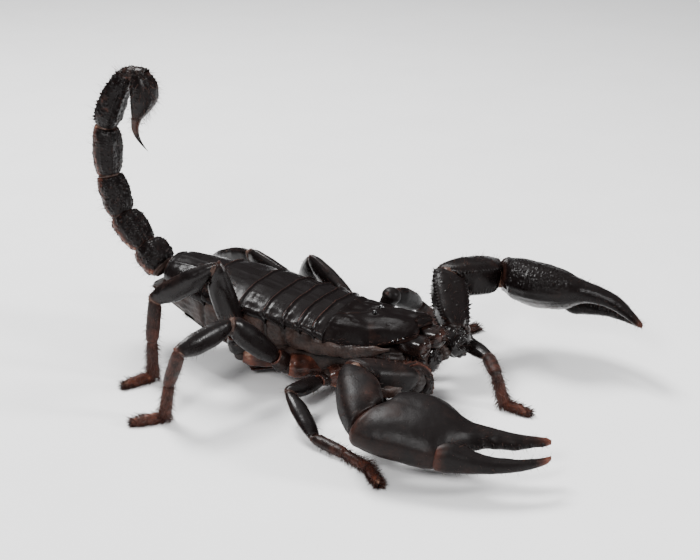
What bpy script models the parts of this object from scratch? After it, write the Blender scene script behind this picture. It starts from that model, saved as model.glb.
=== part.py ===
"""Emperor scorpion, a still life-size model standing on the floor.

Lengths below are millimetres and are scaled to metres when a mesh is made.
The animal faces -Y, its left side is +X and +Z is up. While it is modelled,
y = 0 is about where the tail joins the body and x = 0 is the middle of the body;
at the end everything moves so that the origin is the middle of the footprint.
Angles of limbs are (bearing, climb) in degrees: bearing 0 looks forward, 90
looks to the animal's left, and climb is the angle above level.
"""
import math

import bmesh
import bpy
from mathutils import Vector

MM = 0.001
GAP = 0.36                      # clearance between neighbouring pieces
FORWARD = Vector((0, -1, 0))
LEFT = Vector((1, 0, 0))
UP = Vector((0, 0, 1))
SIDES = {"left": 1, "right": -1}

# ---------------------------------------------------------------- trunk sizes
CARAPACE_FRONT_Y = -89.5
CARAPACE_REAR_Y = -64.6
CARAPACE_REAR_HALF = 14.2
CARAPACE_FRONT_HALF = 8.6
CARAPACE_NOTCH_DEPTH = 2.6
CARAPACE_NOTCH_HALF = 3.6
# height along the middle line, from the front (0) to the rear (1)
CARAPACE_CROWN = ((0.0, 23.4), (0.12, 24.1), (0.35, 24.4), (0.6, 24.3), (1.0, 24.4))
EYE_RADIUS = 0.75
EYE_X, EYE_Y = 2.1, -74.8         # centre of the left median eye
EYE_LIFT = 0.95                   # height of its centre above the shield below it

TERGITE_LENGTHS = (3.6, 4.5, 4.9, 6.2, 8.3, 13.1, 17.4)      # first to seventh
TERGITE_THICK = 1.3

# (y, half width, edge height, top height) of the back's plates
BACK = (
    (-64.6, 14.2, 18.8, 24.4),
    (-61.0, 14.5, 20.0, 24.7),
    (-57.0, 14.8, 20.8, 25.2),
    (-48.0, 15.2, 21.5, 26.2),
    (-38.0, 15.2, 21.9, 27.5),
    (-27.0, 14.2, 22.0, 28.6),
    (-16.0, 11.4, 22.2, 29.0),
    (-10.0, 8.8, 22.6, 29.2),
    (-6.8, 7.2, 23.4, 28.9),
)
# (y, half width, bottom height, rearward lean of the bottom) of the soft belly
BELLY = (
    (-64.2, 13.0, 12.6, 0.0),
    (-56.0, 13.4, 11.6, 0.0),
    (-48.2, 13.4, 10.9, 0.0),
    (-46.2, 13.4, 5.2, 0.0),
    (-42.0, 13.8, 3.8, 0.0),
    (-34.0, 14.0, 4.6, 0.0),
    (-26.0, 13.2, 6.4, 0.0),
    (-18.0, 10.8, 10.4, 1.5),
    (-12.0, 8.6, 14.4, 4.0),
    (-8.6, 7.2, 17.0, 6.5),
    (-6.9, 6.2, 18.4, 8.4),
)
# (y, half width, bottom height, top height) of the joined leg bases
COXAE = (
    (-93.4, 5.6, 9.8, 13.2),
    (-90.6, 8.0, 8.4, 14.0),
    (-84.0, 9.8, 6.6, 14.6),
    (-76.0, 10.8, 5.2, 16.4),
    (-67.4, 11.6, 4.4, 16.4),
    (-65.8, 11.8, 4.3, 11.8),
    (-57.0, 12.6, 3.6, 11.0),
    (-48.6, 12.2, 4.6, 10.2),
)

# -------------------------------------------------------------------- tail
TAIL_ROOT = (0.0, -1.6, 24.0)
TAIL_ROOT_CLIMB = 38                          # how the body's end faces
TAIL_LENGTHS = (8.6, 11.8, 12.6, 15.2, 19.2)
TAIL_CLIMBS = (43, 46, 71, 89, 117)           # from level rearwards
TAIL_HALF_DEEP = (5.3, 4.6, 4.4, 4.4, 3.9)
TAIL_HALF_WIDE = (5.2, 4.8, 4.4, 4.1, 3.8)
BULB_LENGTH = 14.0
BULB_REACH = 5.5                # from the tail's end forward to the bulb's root
STING_LENGTH = 9.4

# -------------------------------------------------------------------- legs
# lengths of femur with trochanter, patella, tibia, basitarsus, telotarsus
LEG_LENGTHS = {
    1: (17.0, 15.5, 10.0, 9.0, 8.0),
    2: (17.0, 17.0, 10.5, 9.5, 8.5),
    3: (24.0, 18.5, 11.5, 10.1, 9.0),
    4: (27.5, 20.5, 13.0, 11.2, 9.6),
}
# half height of the same five pieces; each is FLATNESS as thick
LEG_HALF_DEEP = {
    1: (2.5, 2.6, 1.7, 1.4, 1.2),
    2: (2.6, 2.8, 1.8, 1.45, 1.25),
    3: (3.5, 3.4, 1.8, 1.6, 1.35),
    4: (3.8, 3.6, 1.8, 1.6, 1.4),
}
LEG_FLATNESS = (0.56, 0.56, 0.78, 0.8, 0.85)
STOUT_LEGS = {("left", 2): 1.3, ("left", 3): 1.15}         # thicker than the rest
ANKLE_Z = 1.5                   # height of the telotarsus's root
TOE_Z = 0.9                     # height of its tip
SOLE_Z = 0.42                   # whatever dips below this becomes the flat sole
# hip and the bearing and climb of femur, patella and tibia, then the bearings
# of basitarsus and telotarsus, whose climbs follow from the floor
LEG_POSES = {
    ("right", 1): ((-11.6, -77.5, 8.0), ((-50, 4), (4, 13), (-20, -65)), (-40, 20)),
    ("right", 2): ((-12.6, -65.5, 7.2), ((-98, 5), (-35, -22), (-13, -4)), (-22, -43)),
    ("right", 3): ((-13.9, -53.0, 8.6), ((-119, 43), (-108, -9), (167, -67)), (-157, -135)),
    ("right", 4): ((-14.8, -38.5, 9.8), ((-129, 74), (-162, -31), (-171, -83)), (-141, -118)),
    ("left", 1): ((11.8, -77.5, 7.7), ((46, 11), (-31, -2), (-54, -3)), (-9, -8)),
    ("left", 2): ((14.6, -64.2, 7.4), ((32, 65), (84, -23), (67, -44)), (60, 60)),
    ("left", 3): ((15.7, -62.3, 15.4), ((164, 26), (130, -46), (140, -40)), (140, 150)),
    ("left", 4): ((15.9, -46.2, 16.4), ((170, 17), (157, -22), (150, -68)), (150, 140)),
}

# --------------------------------------------------------------- pedipalps
# joints from the leg bases to the wrist, then the hand's bearing, climb and roll
# (which turns the movable finger's side down), the finger's opening in degrees and
# how far the middle of the fingers bows up, and the rise of the whole back along it
PEDIPALPS = {
    "right": {
        "root": (-10.8, -87.6, 12.0),
        "femur": (-15.2, -91.7, 14.2),
        "elbow": (-28.0, -82.4, 18.2),
        "wrist": (-44.4, -93.6, 13.3),
        "hand": (25, -3, 14),
        "opening": 0,
        "bow": 0.0,
        "arch": ((0, 0), (47.4, 0)),
    },
    "left": {
        "root": (11.4, -89.8, 11.0),
        "femur": (16.8, -91.4, 16.4),
        "elbow": (29.8, -82.4, 26.9),
        "wrist": (48.0, -92.4, 23.4),
        "hand": (-10, -5.4, 26),
        "opening": -9,
        "bow": 2.4,
        "arch": ((0, 0), (10, 0.3), (18, 1.2), (26, 2.0), (36, 1.3), (43, 0.4), (47.4, 0)),
    },
}
# along the hand: (distance, fixed finger's side, movable finger's side, half depth)
HAND_OUTLINE = (
    (0.0, -4.4, 4.2, 4.1),
    (3.0, -8.8, 7.2, 5.4),
    (8.0, -11.2, 9.9, 6.4),
    (13.5, -11.5, 11.5, 6.7),
    (18.0, -10.5, 12.2, 6.2),
    (21.4, -8.6, 12.2, 5.5),
    (22.4, -7.4, 5.4, 4.9),
    (24.5, -4.9, 4.8, 4.1),
    (27.5, -3.0, 4.3, 3.3),
    (32.0, -1.8, 3.5, 2.6),
    (38.0, -0.5, 3.7, 2.1),
    (42.8, -0.1, 2.4, 1.4),
    (47.4, 0.1, 0.8, 0.5),
)
FINGER_HINGE = (22.8, 9.2)      # place of the movable finger's joint in that plan
FINGER_ARCH = -0.35             # the movable finger's share of the hand's arch
FINGER_OUTLINE = (
    (23.2, 6.4, 12.7, 4.5),
    (25.2, 7.2, 13.2, 3.7),
    (28.3, 8.3, 13.4, 2.7),
    (32.6, 9.1, 13.1, 2.0),
    (38.0, 9.1, 12.1, 1.6),
    (42.8, 8.1, 10.2, 1.1),
    (47.2, 6.1, 7.0, 0.5),
)

# ---------------------------------------------------------------- materials
MATERIALS = {
    "black_shell": ((0.016, 0.013, 0.012), 0.28),
    "brown_shell": ((0.055, 0.022, 0.014), 0.34),
    "red_tarsus": ((0.16, 0.05, 0.03), 0.45),
    "membrane": ((0.10, 0.075, 0.065), 0.55),
    "sting_tip": ((0.06, 0.018, 0.012), 0.25),
    "eye": ((0.004, 0.004, 0.005), 0.06),
}


def make_material(name, slot):
    """A Principled material of one slot's colour for one object."""
    colour, roughness = MATERIALS[slot]
    material = bpy.data.materials.new(name + "_" + slot)
    material.use_nodes = True
    shader = material.node_tree.nodes["Principled BSDF"]
    shader.inputs["Base Color"].default_value = (*colour, 1.0)
    shader.inputs["Roughness"].default_value = roughness
    shader.inputs["Metallic"].default_value = 0.0
    return material


def heading(bearing, climb):
    """Unit vector of a bearing and a climb in degrees."""
    turn, rise = math.radians(bearing), math.radians(climb)
    level = FORWARD * math.cos(turn) + LEFT * math.sin(turn)
    return level * math.cos(rise) + UP * math.sin(rise)


def interpolate(table, x):
    """Read a table of rows (x, value, ...) at x, with straight runs between rows."""
    if x <= table[0][0]:
        return table[0][1:]
    for low, high in zip(table, table[1:]):
        if x <= high[0]:
            share = (x - low[0]) / (high[0] - low[0])
            return tuple(a + (b - a) * share for a, b in zip(low[1:], high[1:]))
    return table[-1][1:]


def loft(name, rings, slot, smooth_angle=50):
    """One closed body through rings of equal point counts, capped at both ends."""
    mesh = bpy.data.meshes.new(name)
    shape = bmesh.new()
    loops = [[shape.verts.new(point * MM) for point in ring] for ring in rings]
    count = len(loops[0])
    for first, second in zip(loops, loops[1:]):
        for i in range(count):
            j = (i + 1) % count
            shape.faces.new((first[i], first[j], second[j], second[i]))
    shape.faces.new(loops[0])
    shape.faces.new(loops[-1])
    bmesh.ops.recalc_face_normals(shape, faces=shape.faces)
    shape.to_mesh(mesh)
    shape.free()
    mesh.shade_smooth()
    mesh.set_sharp_from_angle(angle=math.radians(smooth_angle))
    mesh.materials.append(make_material(name, slot))
    piece = bpy.data.objects.new(name, mesh)
    bpy.context.scene.collection.objects.link(piece)
    return piece


def oval(centre, axis, across, half_across, half_up, count, power=2.0, plane=None):
    """Points of a rounded section; `plane` is the normal it is sheared onto."""
    rise = axis.cross(across)
    points = []
    for i in range(count):
        angle = 2 * math.pi * (i + 0.5) / count
        c, s = math.cos(angle), math.sin(angle)
        reach = (abs(c) ** power + abs(s) ** power) ** (-1 / power)
        offset = across * (half_across * c * reach) + rise * (half_up * s * reach)
        if plane is not None:
            offset -= axis * (offset.dot(plane) / axis.dot(plane))
        points.append(centre + offset)
    return points


def level_across(axis):
    """The level direction square to an axis, or LEFT for an upright one."""
    across = axis.cross(UP)
    return across.normalized() if across.length > 0.05 else LEFT.copy()


def mitre(first, second):
    """Normal of the plane in which two segments meet."""
    return (first + second).normalized()


def segment_rings(start, end, profile, across, count, first_plane=None, last_plane=None, power=2.2):
    """Rings of a segment; profile rows are (share of length, half across, half deep)."""
    axis = (end - start).normalized()
    first_plane = axis if first_plane is None else first_plane
    last_plane = axis if last_plane is None else last_plane
    across = (across - axis * across.dot(axis)).normalized()
    inset = GAP / 2
    low = start + axis * (inset / axis.dot(first_plane))
    high = end - axis * (inset / axis.dot(last_plane))
    rings = []
    for share, half_across, half_deep in profile:
        plane = axis
        if share < 0.3:
            plane = first_plane.lerp(axis, share / 0.3).normalized()
        elif share > 0.7:
            plane = last_plane.lerp(axis, (1 - share) / 0.3).normalized()
        centre = low.lerp(high, share)
        rings.append(oval(centre, axis, across, half_across, half_deep, count, power, plane))
    return rings


# ------------------------------------------------------------------- trunk
def back_section(y, lift=0.0, count=9, grow=0.0):
    """Arch of points across the back at y, from the right edge to the left."""
    half, edge, top = interpolate(BACK, y)
    points = []
    for i in range(count):
        angle = math.pi * (1 - i / (count - 1))
        x = (half + grow) * math.cos(angle)
        z = edge + (top - edge) * math.sin(angle) ** 0.8 + lift
        points.append(Vector((x, y, z)))
    return points


def add_tergites():
    """Seven back plates, each a little proud of the next at its rear edge."""
    y = CARAPACE_REAR_Y
    last = sum(TERGITE_LENGTHS)
    scale = (BACK[-1][0] - CARAPACE_REAR_Y) / last
    for number, length in enumerate(TERGITE_LENGTHS, 1):
        front = y + GAP / 2
        y += length * scale
        rear = y - GAP / 2
        rings = []
        for place, lift in ((front, -0.25), (front + 0.7 * (rear - front), 0.2), (rear, 0.25)):
            outer = back_section(place, lift)
            inner = [p - UP * TERGITE_THICK for p in back_section(place, lift, grow=-0.5)]
            inner[0].z = outer[0].z - 0.6
            inner[-1].z = outer[-1].z - 0.6
            rings.append(outer + inner[::-1])
        loft("tergite_%d" % number, rings, "black_shell", 40)


def add_belly():
    """The soft flanks and belly plates below the back, in one body."""
    rings = []
    for y, half, bottom, lean in BELLY:
        ring = [p - UP * (TERGITE_THICK + 0.55) for p in back_section(y, count=7, grow=-1.1)]
        top_z = ring[0].z - 0.6
        for i in range(9):
            angle = math.pi * (i + 0.5) / 9
            sink = math.sin(angle) ** 0.75
            ring.append(Vector((half * math.cos(angle), y + lean * sink,
                                top_z + (bottom - top_z) * sink)))
        rings.append(ring)
    loft("belly", rings, "membrane", 60)


def carapace_front(x):
    """Front margin: two rounded lobes with a notch between them."""
    notch = CARAPACE_NOTCH_DEPTH * max(0.0, 1 - (abs(x) / CARAPACE_NOTCH_HALF) ** 1.5)
    shoulder = 4.2 * max(0.0, (abs(x) - 5.0) / (CARAPACE_FRONT_HALF - 5.0)) ** 2.2
    return CARAPACE_FRONT_Y + notch + shoulder


def carapace_top(x, y):
    """Height of the head shield: a dome with a low eye hill and a middle groove."""
    along = (y - CARAPACE_FRONT_Y) / (CARAPACE_REAR_Y - CARAPACE_FRONT_Y)
    crown = interpolate(CARAPACE_CROWN, min(1.0, max(0.0, along)))[0]
    edge = 18.3 - 0.5 * along
    half = carapace_half(along)
    arch = max(0.0, 1 - (abs(x) / half) ** 4.2) ** 0.85
    hill = 0.9 * math.exp(-((x / 2.4) ** 2) - ((y + 74.8) / 3.6) ** 2)
    groove = -0.5 * math.exp(-((x / 1.3) ** 2)) * (1 - math.exp(-((y + 74.8) / 5) ** 2))
    return edge + (crown - edge) * arch + hill + groove


def carapace_half(along):
    """Half width of the head shield from its front (0) to its rear (1)."""
    widen = min(1.0, max(0.0, along)) ** 0.75
    return CARAPACE_FRONT_HALF + (CARAPACE_REAR_HALF - CARAPACE_FRONT_HALF) * widen


def add_carapace():
    """The head shield, from its lobed front margin to the first back plate."""
    top_count, shares = 15, (0, 0.06, 0.16, 0.3, 0.44, 0.56, 0.68, 0.84, 1)
    rear = CARAPACE_REAR_Y - GAP / 2
    rings = []
    for share in shares:
        half = carapace_half(share)
        upper, lower = [], []
        for i in range(top_count):
            x = -half * math.cos(math.pi * i / (top_count - 1))
            y = carapace_front(x * CARAPACE_FRONT_HALF / half)
            y += (rear - y) * share
            z = carapace_top(x, y) - 0.9 * max(0.0, 1 - share / 0.1)
            upper.append(Vector((x, y, z)))
            if i % 2 == 0:
                depth = 1.6 + 1.2 * min(1.0, share * 3) * (1 - abs(x) / half)
                lower.append(Vector((x * 0.97, y, z - depth)))
        rings.append(upper + lower[::-1])
    loft("carapace", rings, "black_shell", 40)


def add_coxae():
    """The joined bases of legs and pedipalps under the head shield."""
    rings = []
    for y, half, bottom, top in COXAE:
        middle = (bottom + top) / 2
        centre = Vector((0, y, middle))
        rings.append(oval(centre, FORWARD, LEFT, half, (top - bottom) / 2, 14, 3.0))
    loft("coxae", rings, "brown_shell", 50)


def ball(name, centre, radius, slot, segments=8, rows=6):
    """A closed rounded bead made of stacked rings."""
    rings = []
    for i in range(rows):
        angle = math.pi * (i + 0.5) / rows
        r = radius * math.sin(angle)
        middle = centre - UP * (radius * math.cos(angle))
        rings.append(oval(middle, UP, LEFT, r, r, segments))
    return loft(name, rings, slot)


def add_eyes():
    """The two median eyes on the flanks of their hill."""
    for side, sign in SIDES.items():
        centre = Vector((sign * EYE_X, EYE_Y, carapace_top(EYE_X, EYE_Y) + EYE_LIFT))
        ball("eye_" + side, centre, EYE_RADIUS, "eye")


def add_chelicerae():
    """Two bulky jaws under the front of the head shield, each with its claw."""
    profile = (
        (0.0, 2.3, 2.0), (0.12, 2.8, 2.4), (0.4, 2.95, 2.6), (0.62, 2.7, 2.6),
        (0.74, 2.0, 1.9), (0.9, 1.3, 1.2), (1.0, 0.5, 0.5),
    )
    for side, sign in SIDES.items():
        start = Vector((sign * 3.35, -83.4, 17.4))
        end = Vector((sign * 3.1, -96.2, 16.6))
        rings = segment_rings(start, end, profile, LEFT, 10)
        loft("chelicera_" + side, rings, "black_shell")


def add_pectines():
    """The comb organs: thin backs-swept blades below the belly's front."""
    for side, sign in SIDES.items():
        start = Vector((sign * 1.6, -46.6, 2.9))
        end = Vector((sign * 11.0, -39.6, 3.0))
        profile = ((0.0, 0.9, 0.45), (0.2, 1.7, 0.45), (0.7, 1.7, 0.4), (1.0, 0.7, 0.35))
        rings = segment_rings(start, end, profile, FORWARD, 8)
        loft("pecten_" + side, rings, "brown_shell")


# -------------------------------------------------------------------- tail
def add_tail():
    """Five ringed segments, the venom bulb folded back along the last, and the sting."""
    joints = [Vector(TAIL_ROOT)]
    headings = []
    for length, climb in zip(TAIL_LENGTHS, TAIL_CLIMBS):
        headings.append(heading(180, climb))
        joints.append(joints[-1] + headings[-1] * length)
    planes = [heading(180, TAIL_ROOT_CLIMB)]
    planes += [mitre(a, b) for a, b in zip(headings, headings[1:])]
    planes.append(headings[-1])
    # (share of length, share of width and depth, the same in the last, tapered segment)
    shape = ((0.0, 0.74, 0.74), (0.1, 0.9, 0.9), (0.34, 1.0, 1.0), (0.66, 1.0, 0.96),
             (0.88, 0.93, 0.82), (1.0, 0.75, 0.62))
    for i in range(5):
        wide, deep = TAIL_HALF_WIDE[i], TAIL_HALF_DEEP[i]
        profile = [(row[0], wide * row[1 + i // 4], deep * row[1 + i // 4]) for row in shape]
        rings = segment_rings(joints[i], joints[i + 1], profile, LEFT, 10,
                              planes[i], planes[i + 1], 2.8)
        loft("tail_%d" % (i + 1), rings, "black_shell", 40)
    add_telson(joints[-1])


def add_telson(joint):
    """The venom bulb hangs from the tail's end and carries the curved sting."""
    root = joint + FORWARD * BULB_REACH + UP * 0.8
    # (share of length, half width, half depth, push forward)
    bulb = ((0.0, 2.4, 2.2, -0.7), (0.1, 3.2, 3.2, -0.2), (0.3, 3.8, 3.9, 0.4), (0.52, 3.8, 4.0, 0.2),
            (0.74, 3.0, 3.3, -0.8), (0.9, 2.2, 2.4, -1.9), (1.0, 1.6, 1.7, -2.7))
    rings = []
    for share, wide, deep, push in bulb:
        centre = root - UP * (BULB_LENGTH * share) + FORWARD * push
        rings.append(oval(centre, -UP, LEFT, wide, deep, 10))
    loft("vesicle", rings, "black_shell", 60)
    base = root - UP * (BULB_LENGTH + GAP) + FORWARD * bulb[-1][3]
    rings = []
    for i in range(7):
        share = i / 6
        bend = 3.8 * share ** 2.4 - 1.1 * math.sin(math.pi * share) - 0.4 * share
        centre = base - UP * (STING_LENGTH * share) + FORWARD * bend
        radius = 1.45 * (1 - share) ** 0.8 + 0.26
        rings.append(oval(centre, -UP, LEFT, radius, radius, 8))
    loft("sting", rings, "sting_tip", 60)


# -------------------------------------------------------------------- legs
FEMUR_SHAPE = ((0.0, 0.55), (0.07, 0.78), (0.15, 0.74), (0.22, 0.6), (0.34, 0.86),
               (0.6, 1.0), (0.88, 0.9), (1.0, 0.48))
PATELLA_SHAPE = ((0.0, 0.45), (0.14, 0.76), (0.38, 1.0), (0.66, 0.98), (0.88, 0.78), (1.0, 0.48))
FOOT_SHAPE = (((0.0, 0.82), (0.25, 1.04), (0.75, 1.0)),
              ((0.0, 0.98), (0.5, 1.0)),
              ((0.0, 0.96), (0.3, 1.08), (0.75, 1.0), (0.92, 0.7), (1.0, 0.3)))


def leg_points(side, number):
    """Hip, knees, ankles and toe of one leg."""
    hip, upper, lower = LEG_POSES[side, number]
    points = [Vector(hip)]
    lengths = LEG_LENGTHS[number]
    for (bearing, climb), length in zip(upper, lengths):
        points.append(points[-1] + heading(bearing, climb) * length)
    for bearing, length, height in zip(lower, lengths[3:], (ANKLE_Z, TOE_Z)):
        drop = max(-1.0, (height - points[-1].z) / length)
        points.append(points[-1] + heading(bearing, math.degrees(math.asin(drop))) * length)
    return points


def foot_rings(points, deeps, first_plane, across):
    """Rings through tibia, basitarsus and telotarsus, with the sole pressed flat."""
    axes = [(b - a).normalized() for a, b in zip(points, points[1:])]
    planes = [first_plane] + [mitre(a, b) for a, b in zip(axes, axes[1:])] + [axes[-1]]
    rings = []
    for i, axis in enumerate(axes):
        start, end = points[i], points[i + 1]
        if i == 0:
            start = start + axis * (GAP / 2 / axis.dot(first_plane))
        side = (across - axis * across.dot(axis)).normalized()
        if i == 2:
            side = level_across(axis)
            side = side if side.dot(across) > 0 else -side
        for share, scale in FOOT_SHAPE[i]:
            deep = deeps[i] * scale
            wide = deep * LEG_FLATNESS[i + 2]
            plane = planes[i].lerp(axis, min(1, share / 0.3)).normalized()
            rings.append(oval(start.lerp(end, share), axis, side, wide, deep, 8, 2.0, plane))
    for ring in rings[5:]:
        for point in ring:
            if point.z < SOLE_Z:
                point.z = 0.0
    return rings


def add_leg(side, number):
    """Femur with its trochanter, patella, and the foot from tibia to claws."""
    points = leg_points(side, number)
    axes = [(b - a).normalized() for a, b in zip(points, points[1:])]
    deeps = LEG_HALF_DEEP[number]
    stout = STOUT_LEGS.get((side, number), 1.0)
    across = axes[0].cross(axes[1])
    across = across.normalized() if across.length > 0.2 else level_across(axes[0])
    if across.dot(level_across(axes[0])) < 0:
        across = -across
    knee = mitre(axes[0], axes[1])
    shin = mitre(axes[1], axes[2])
    name = "leg_%s_%d_" % (side, number)
    for i, part, shape, first, last in ((0, "femur", FEMUR_SHAPE, axes[0], knee),
                                        (1, "patella", PATELLA_SHAPE, knee, shin)):
        deep = deeps[i]
        profile = [(share, deep * scale * LEG_FLATNESS[i] * stout, deep * scale * stout ** 0.5)
                   for share, scale in shape]
        rings = segment_rings(points[i], points[i + 1], profile, across, 10, first, last)
        loft(name + part, rings, "black_shell")
    rings = foot_rings(points[2:], deeps[2:], shin, across)
    loft(name + "foot", rings, "red_tarsus")


# --------------------------------------------------------------- pedipalps
def outline_rings(origin, along, across, outline, count, pose, wrist_plane=None, opening=0.0):
    """Rings of a piece whose plan outline and depth are given along its length.

    The plan turns about the finger's hinge by `opening` degrees, and past that hinge
    the middle line bows up by the pose's bow and comes back at the tips.
    """
    rise = along.cross(across)
    rise = rise if rise.z > 0 else -rise
    turn = math.radians(opening)
    hinge, hinge_side = FINGER_HINGE
    tip = HAND_OUTLINE[-1][0]
    rings = []
    for distance, low, high, half_deep in outline:
        middle, half = (low + high) / 2, (high - low) / 2
        plane = along
        if wrist_plane is not None:
            plane = wrist_plane.lerp(along, min(1.0, distance / 9)).normalized()
        forward, aside = distance - hinge, middle - hinge_side
        axis = along * math.cos(turn) + across * math.sin(turn)
        side = across * math.cos(turn) - along * math.sin(turn)
        lift = pose["bow"] * math.sin(math.pi * min(1.0, max(0.0, forward / (tip - hinge))))
        lift += interpolate(pose["arch"], distance)[0] * (1.0 if outline is HAND_OUTLINE else FINGER_ARCH)
        base = origin + along * hinge + across * hinge_side
        centre = base + axis * forward + side * aside + rise * lift
        ring = oval(centre, axis, side, half, half_deep, count, 2.2)
        if wrist_plane is not None:
            for point in ring:
                offset = point - origin - along * distance
                point -= along * (offset.dot(plane) / along.dot(plane))
        rings.append(ring)
    return rings


def add_pedipalp(side):
    """Trochanter, femur, patella, hand with its fixed finger, and the movable finger."""
    sign = SIDES[side]
    pose = PEDIPALPS[side]
    root, hip, elbow, wrist = (Vector(pose[key]) for key in ("root", "femur", "elbow", "wrist"))
    bearing, climb, roll = pose["hand"]
    along = heading(bearing, climb)
    across = level_across(along)
    if across.x * sign < 0:
        across = -across
    rise = along.cross(across)
    rise = rise if rise.z > 0 else -rise
    tilt = math.radians(roll)
    across = across * math.cos(tilt) - rise * math.sin(tilt)
    axes = [(hip - root).normalized(), (elbow - hip).normalized(), (wrist - elbow).normalized()]
    planes = [axes[0], mitre(axes[0], axes[1]), mitre(axes[1], axes[2]), mitre(axes[2], along)]
    parts = (
        ("trochanter", root, hip, ((0.0, 2.6, 2.8), (0.25, 3.9, 4.2), (0.5, 4.0, 4.4), (1.0, 2.9, 3.2))),
        ("femur", hip, elbow, ((0.0, 2.9, 3.1), (0.14, 4.3, 4.0), (0.4, 5.0, 4.3), (0.7, 5.3, 4.5),
                               (0.9, 4.6, 4.2), (1.0, 3.4, 3.3))),
        ("patella", elbow, wrist, ((0.0, 3.2, 3.2), (0.14, 4.9, 4.8), (0.36, 6.1, 5.6), (0.66, 6.2, 5.6),
                                   (0.88, 5.0, 4.8), (1.0, 3.4, 3.6))),
    )
    for i, (part, start, end, profile) in enumerate(parts):
        rings = segment_rings(start, end, profile, level_across(axes[i]), 12,
                              planes[i], planes[i + 1])
        loft("pedipalp_%s_%s" % (side, part), rings, "black_shell")
    hand_root = wrist + along * (GAP / along.dot(planes[3]))
    rings = outline_rings(hand_root, along, across, HAND_OUTLINE, 14, pose, planes[3])
    loft("hand_" + side, rings, "black_shell", 45)
    rings = outline_rings(hand_root, along, across, FINGER_OUTLINE, 10, pose,
                          opening=pose["opening"])
    loft("finger_" + side, rings, "brown_shell", 45)


def centre_footprint():
    """Move every mesh so that the origin is the middle of the whole footprint."""
    pieces = [piece for piece in bpy.context.scene.objects if piece.type == "MESH"]
    points = [vertex.co for piece in pieces for vertex in piece.data.vertices]
    middle = Vector([(min(p[i] for p in points) + max(p[i] for p in points)) / 2 for i in (0, 1)] + [0])
    for piece in pieces:
        for vertex in piece.data.vertices:
            vertex.co -= middle


def main():
    for old in list(bpy.data.objects):
        bpy.data.objects.remove(old, do_unlink=True)
    add_carapace()
    add_eyes()
    add_chelicerae()
    add_coxae()
    add_tergites()
    add_belly()
    add_pectines()
    add_tail()
    for side in SIDES:
        add_pedipalp(side)
        for number in LEG_LENGTHS:
            add_leg(side, number)
    centre_footprint()


main()
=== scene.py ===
"""Looks of a still, life-size emperor scorpion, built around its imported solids.

Lengths are millimetres in the animal's own frame (it faces -Y, its left is +X, the tail
joins the body near y = 0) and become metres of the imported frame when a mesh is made.
Angles of limbs are (bearing, climb) in degrees: bearing 0 looks forward and 90 left.
"""
import math
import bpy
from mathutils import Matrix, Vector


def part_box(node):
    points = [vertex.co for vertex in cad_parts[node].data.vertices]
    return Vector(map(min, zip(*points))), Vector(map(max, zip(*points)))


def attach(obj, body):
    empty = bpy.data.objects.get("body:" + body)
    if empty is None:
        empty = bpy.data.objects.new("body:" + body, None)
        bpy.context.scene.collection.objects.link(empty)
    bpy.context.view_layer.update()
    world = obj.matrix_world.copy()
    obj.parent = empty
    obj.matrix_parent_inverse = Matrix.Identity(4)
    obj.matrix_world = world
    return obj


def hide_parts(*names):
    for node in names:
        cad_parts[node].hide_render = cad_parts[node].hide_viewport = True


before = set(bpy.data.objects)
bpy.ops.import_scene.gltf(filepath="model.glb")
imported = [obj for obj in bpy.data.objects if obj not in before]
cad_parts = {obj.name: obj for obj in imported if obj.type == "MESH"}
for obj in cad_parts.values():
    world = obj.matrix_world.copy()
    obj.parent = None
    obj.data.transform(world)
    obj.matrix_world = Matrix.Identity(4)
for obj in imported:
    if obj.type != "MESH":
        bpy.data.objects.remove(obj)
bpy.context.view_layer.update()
from types import SimpleNamespace

import bpy
import numpy as np
from mathutils import Matrix, Vector

MM = 0.001
FORWARD = np.array([0.0, -1.0, 0.0])
LEFT = np.array([1.0, 0.0, 0.0])
UP = np.array([0.0, 0.0, 1.0])
SIDES = {"left": 1, "right": -1}

# ---------------------------------------------------------------- measures
CARAPACE_FRONT_Y = -89.5
CARAPACE_REAR_Y = -64.6
CARAPACE_REAR_HALF = 14.2
CARAPACE_FRONT_HALF = 8.6
CARAPACE_NOTCH_DEPTH = 2.6
CARAPACE_NOTCH_HALF = 3.6
# (share from front to rear, height) of the head shield's middle and of its rim
CARAPACE_CROWN = ((0.0, 24.6), (0.12, 25.3), (0.35, 25.1), (0.6, 24.4), (1.0, 24.5))
CARAPACE_EDGE = ((0.0, 17.6), (0.25, 17.0), (0.45, 16.9), (0.6, 17.1), (0.8, 17.7), (1.0, 17.9))
EYE_RADIUS = 0.75
EYE_X, EYE_Y = 2.1, -74.8
EYE_LIFT = 0.3
SIDE_EYE_HALVES = (0.42, 0.42, 0.36)

TERGITE_LENGTHS = (3.6, 4.5, 4.9, 6.2, 8.3, 13.1, 17.4)
TERGITE_OVERLAP = 1.1
TERGITE_THICK = 0.55
# (y, half width, edge height, top height) of the back's plates
BACK = (
    (-64.6, 14.2, 18.8, 24.4), (-61.0, 14.5, 20.0, 24.7), (-57.0, 14.8, 20.8, 25.2),
    (-48.0, 15.2, 21.5, 26.2), (-38.0, 15.2, 21.9, 27.5), (-27.0, 14.2, 22.0, 28.6),
    (-16.0, 11.4, 22.2, 29.0), (-10.0, 8.8, 22.6, 29.2), (-6.8, 7.2, 23.4, 28.9),
)
TERGITE_SCALE = (BACK[-1][0] - CARAPACE_REAR_Y) / sum(TERGITE_LENGTHS)
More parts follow.
